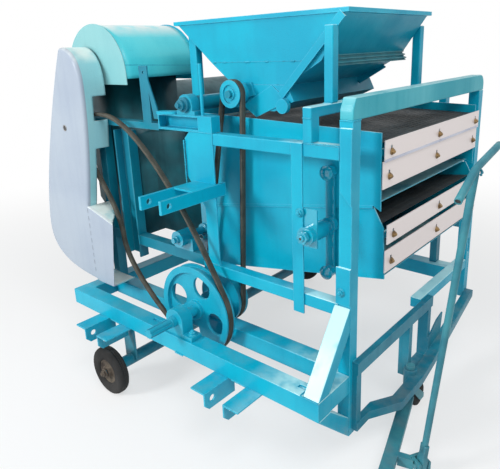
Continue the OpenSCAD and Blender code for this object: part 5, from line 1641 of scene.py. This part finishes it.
@dataclass
class SmallParts:
    """Bolts and welds of the frame, each seam given by its two ends."""

    foot_bolts: Pairs = ((-68.0, 32.5), (68.0, 32.5), (-68.0, 204.5), (68.0, 204.5))
    foot_z: float = 360.0
    foot_r: float = 13.0
    post_r: float = 11.0
    bead_r: float = 2.4
    post_bolts: tuple[Point, ...] = ((597, 166, 623), (600, 172, 445), (451, 166, 848))
    seams: tuple[tuple[Point, Point], ...] = (
        ((585, 172, 1133), (628, 172, 1133)), ((628, 172, 1133), (628, 214, 1133)),
        ((585, 172, 1020), (585, 172, 1061)), ((86, 172, 1020), (86, 172, 1061)),
        ((461, 172, 1061), (585, 172, 1061)), ((460, 172, 1133), (492, 172, 1133)),
        ((563, 0, 345), (628, 0, 345)), ((563, 65, 345), (563, 0, 345)),
        ((615, 172, 455), (615, 172, 525)), ((585, 172, 580), (585, 172, 537)),
        ((30, 172, 580), (86, 172, 580)), ((-52, 166, 835), (-52, 166, 1030)),
        ((45, -2, 280), (0, -2, 280)), ((-403, 0, 280), (-339, 0, 280)),
        ((280, 0, 280), (345, 0, 280)), ((-387, 172, 560), (-387, 172, 602)),
        ((460, 282, 1165), (492, 282, 1165)), ((-191, 172, 1061), (86, 172, 1061)),
        ((629, 189, 388), (629, 215, 388)))

    def build(self) -> list[Piece]:
        """Make bolts in one piece and weld beads in another.

        Returns:
            The pieces.
        """
        bolts: list[Piece] = []
        for n, (x, y) in enumerate(self.foot_bolts):
            bolts += hex_bolt(f"foot_bolt_{n}", (x, y, self.foot_z), Axis.Z, 1.0, self.foot_r,
                              Finish.CAST_TEAL, "frame")
        for n, spot in enumerate(self.post_bolts):
            bolts += hex_bolt(f"post_bolt_{n}", spot, Axis.Y, -1.0, self.post_r,
                              Finish.CAST_TEAL, "frame")
        joined = merge_pieces("frame_bolt_heads", bolts)
        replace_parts(joined, "frame_bolts")
        beads = [weld(f"bead_{n}", seam, self.bead_r, "frame", 40 + n)
                 for n, seam in enumerate(self.seams)]
        return [joined, merge_pieces("frame_welds", beads)]


# Camera, floor and light

@dataclass
class Studio:
    """Camera, pale floor and soft lamps.

    A row of lamps holds the name, place, width, power and target of a lamp.
    """

    lamps: tuple[tuple[str, Point, float, float, Point], ...] = (
        ("key", (-1.8, -4.4, 2.9), 1.2, 190.0, (0.0, 0.3, 0.7)),
        ("fill", (2.6, -1.2, 4.2), 2.0, 80.0, (0.0, 0.5, 0.8)))
    sensor: float = 36.0
    camera_at: Point = (1.3446, -1.0541, 1.3280)
    yaw: float = -40.76
    pitch: float = 16.69
    roll: float = 2.20
    focal_px: float = 521.7
    middle_px: tuple[float, float] = (260.0, 205.3)
    image_px: tuple[int, int] = (500, 469)
    floor_half: float = 30.0
    floor_grey: float = 0.9
    floor_share: float = 0.6
    fade: tuple[float, float] = (1.6, 4.5)
    sky: Colour = (0.93, 0.97, 1.0)
    sky_strength: float = 0.42

    def build(self) -> None:
        """Make the camera, the floor, the lamps and the world."""
        self._camera()
        self._floor()
        self._lamps()
        self._world()
        bpy.context.scene.view_settings.view_transform = "Standard"

    def _camera(self) -> None:
        """Place the camera from its yaw, pitch and roll, with the photograph's frame.

        It looks along (sin yaw cos pitch, cos yaw cos pitch, -sin pitch), and roll turns its
        right and down directions about that line.
        """
        yaw, pitch, roll = (math.radians(v) for v in (self.yaw, self.pitch, self.roll))
        forward = np.array([math.sin(yaw) * math.cos(pitch), math.cos(yaw) * math.cos(pitch),
                            -math.sin(pitch)])
        right = np.array([math.cos(yaw), -math.sin(yaw), 0.0])
        down = np.cross(forward, right)
        right, down = (math.cos(roll) * right + math.sin(roll) * down,
                       -math.sin(roll) * right + math.cos(roll) * down)
        turn = Matrix(np.column_stack([right, -down, -forward]).tolist()).to_4x4()
        data = bpy.data.cameras.new("view")
        camera = bpy.data.objects.new("view", data)
        bpy.context.scene.collection.objects.link(camera)
        camera.matrix_world = Matrix.Translation(self.camera_at) @ turn
        width, height = self.image_px
        data.sensor_fit = "HORIZONTAL"
        data.sensor_width = self.sensor
        data.lens = self.sensor * self.focal_px / width
        data.shift_x = (width / 2 - self.middle_px[0]) / width
        data.shift_y = (self.middle_px[1] - height / 2) / width
        data.clip_end = 100
        bpy.context.scene.camera = camera

    def _floor(self) -> None:
        """Lay a wide pale floor that fades to white for the camera.

        The white share is floor_share + (1 - floor_share) * fade of the distance.
        """
        size = self.floor_half
        mesh = bpy.data.meshes.new("floor")
        mesh.from_pydata([(-size, -size, 0), (size, -size, 0), (size, size, 0), (-size, size, 0)],
                         [], [(0, 1, 2, 3)])
        floor = bpy.data.objects.new("floor", mesh)
        bpy.context.scene.collection.objects.link(floor)
        material, sheet = new_material("pale_floor")
        diffuse = sheet.add("ShaderNodeBsdfDiffuse", {"Color": (self.floor_grey,) * 3 + (1,)})
        white = sheet.add("ShaderNodeEmission", {"Color": (1, 1, 1, 1)})
        length = sheet.add("ShaderNodeVectorMath", {0: sheet.place()}, operation="LENGTH")
        far = sheet.ramp(length.outputs["Value"], *self.fade)
        share = sheet.math("ADD", self.floor_share,
                           sheet.math("MULTIPLY", far, 1 - self.floor_share), True)
        seen = sheet.seen_by("Camera", "Glossy")
        mix = sheet.add("ShaderNodeMixShader", {0: sheet.math("MULTIPLY", share, seen),
                                                1: diffuse.outputs[0], 2: white.outputs[0]})
        sheet.output(mix.outputs[0])
        mesh.materials.append(material)

    def _lamps(self) -> None:
        """Hang a key lamp in front on the left, and a weaker one on the right."""
        for name, place, size, power, target in self.lamps:
            data = bpy.data.lights.new(name, "AREA")
            data.size = size
            data.energy = power
            lamp = bpy.data.objects.new(name, data)
            bpy.context.scene.collection.objects.link(lamp)
            back = np.asarray(place) - np.asarray(target)
            back /= np.linalg.norm(back)
            side = np.cross((0.0, 0.0, 1.0), back)
            side /= np.linalg.norm(side)
            turn = Matrix(np.column_stack([side, np.cross(back, side), back]).tolist()).to_4x4()
            lamp.matrix_world = Matrix.Translation(place) @ turn

    def _world(self) -> None:
        """Light softly from all round, and show white to the camera."""
        world = bpy.data.worlds.new("studio")
        bpy.context.scene.world = world
        world.use_nodes = True
        world.node_tree.nodes.clear()
        sheet = NodeSheet(world.node_tree)
        soft = sheet.add("ShaderNodeBackground", {"Color": (*self.sky, 1),
                                                  "Strength": self.sky_strength})
        white = sheet.add("ShaderNodeBackground", {"Color": (1, 1, 1, 1), "Strength": 1.0})
        seen = sheet.seen_by("Camera", "Transmission", "Glossy")
        mix = sheet.add("ShaderNodeMixShader", {0: seen, 1: soft.outputs[0],
                                                2: white.outputs[0]})
        sheet.output(mix.outputs[0], "ShaderNodeOutputWorld")


def main() -> None:
    """Build the finishes, the sub-assemblies and the studio, and log each piece."""
    logging.basicConfig(level=logging.INFO, format="%(name)s %(message)s")
    groups = SharedGroups()
    for finish in Finish:
        finish.value.build(groups)
    for part in (FrameWork(), DriveLine(), BeltGuard(), Hopper(), Hood(), Wheels(), TowPole(),
                 Shoes(), SmallParts()):
        for piece in part.build():
            LOG.info("%s: %s, %d faces", type(part).__name__, piece.name,
                     len(piece.data.polygons))
    Studio().build()


if __name__ == "__main__":
    main()
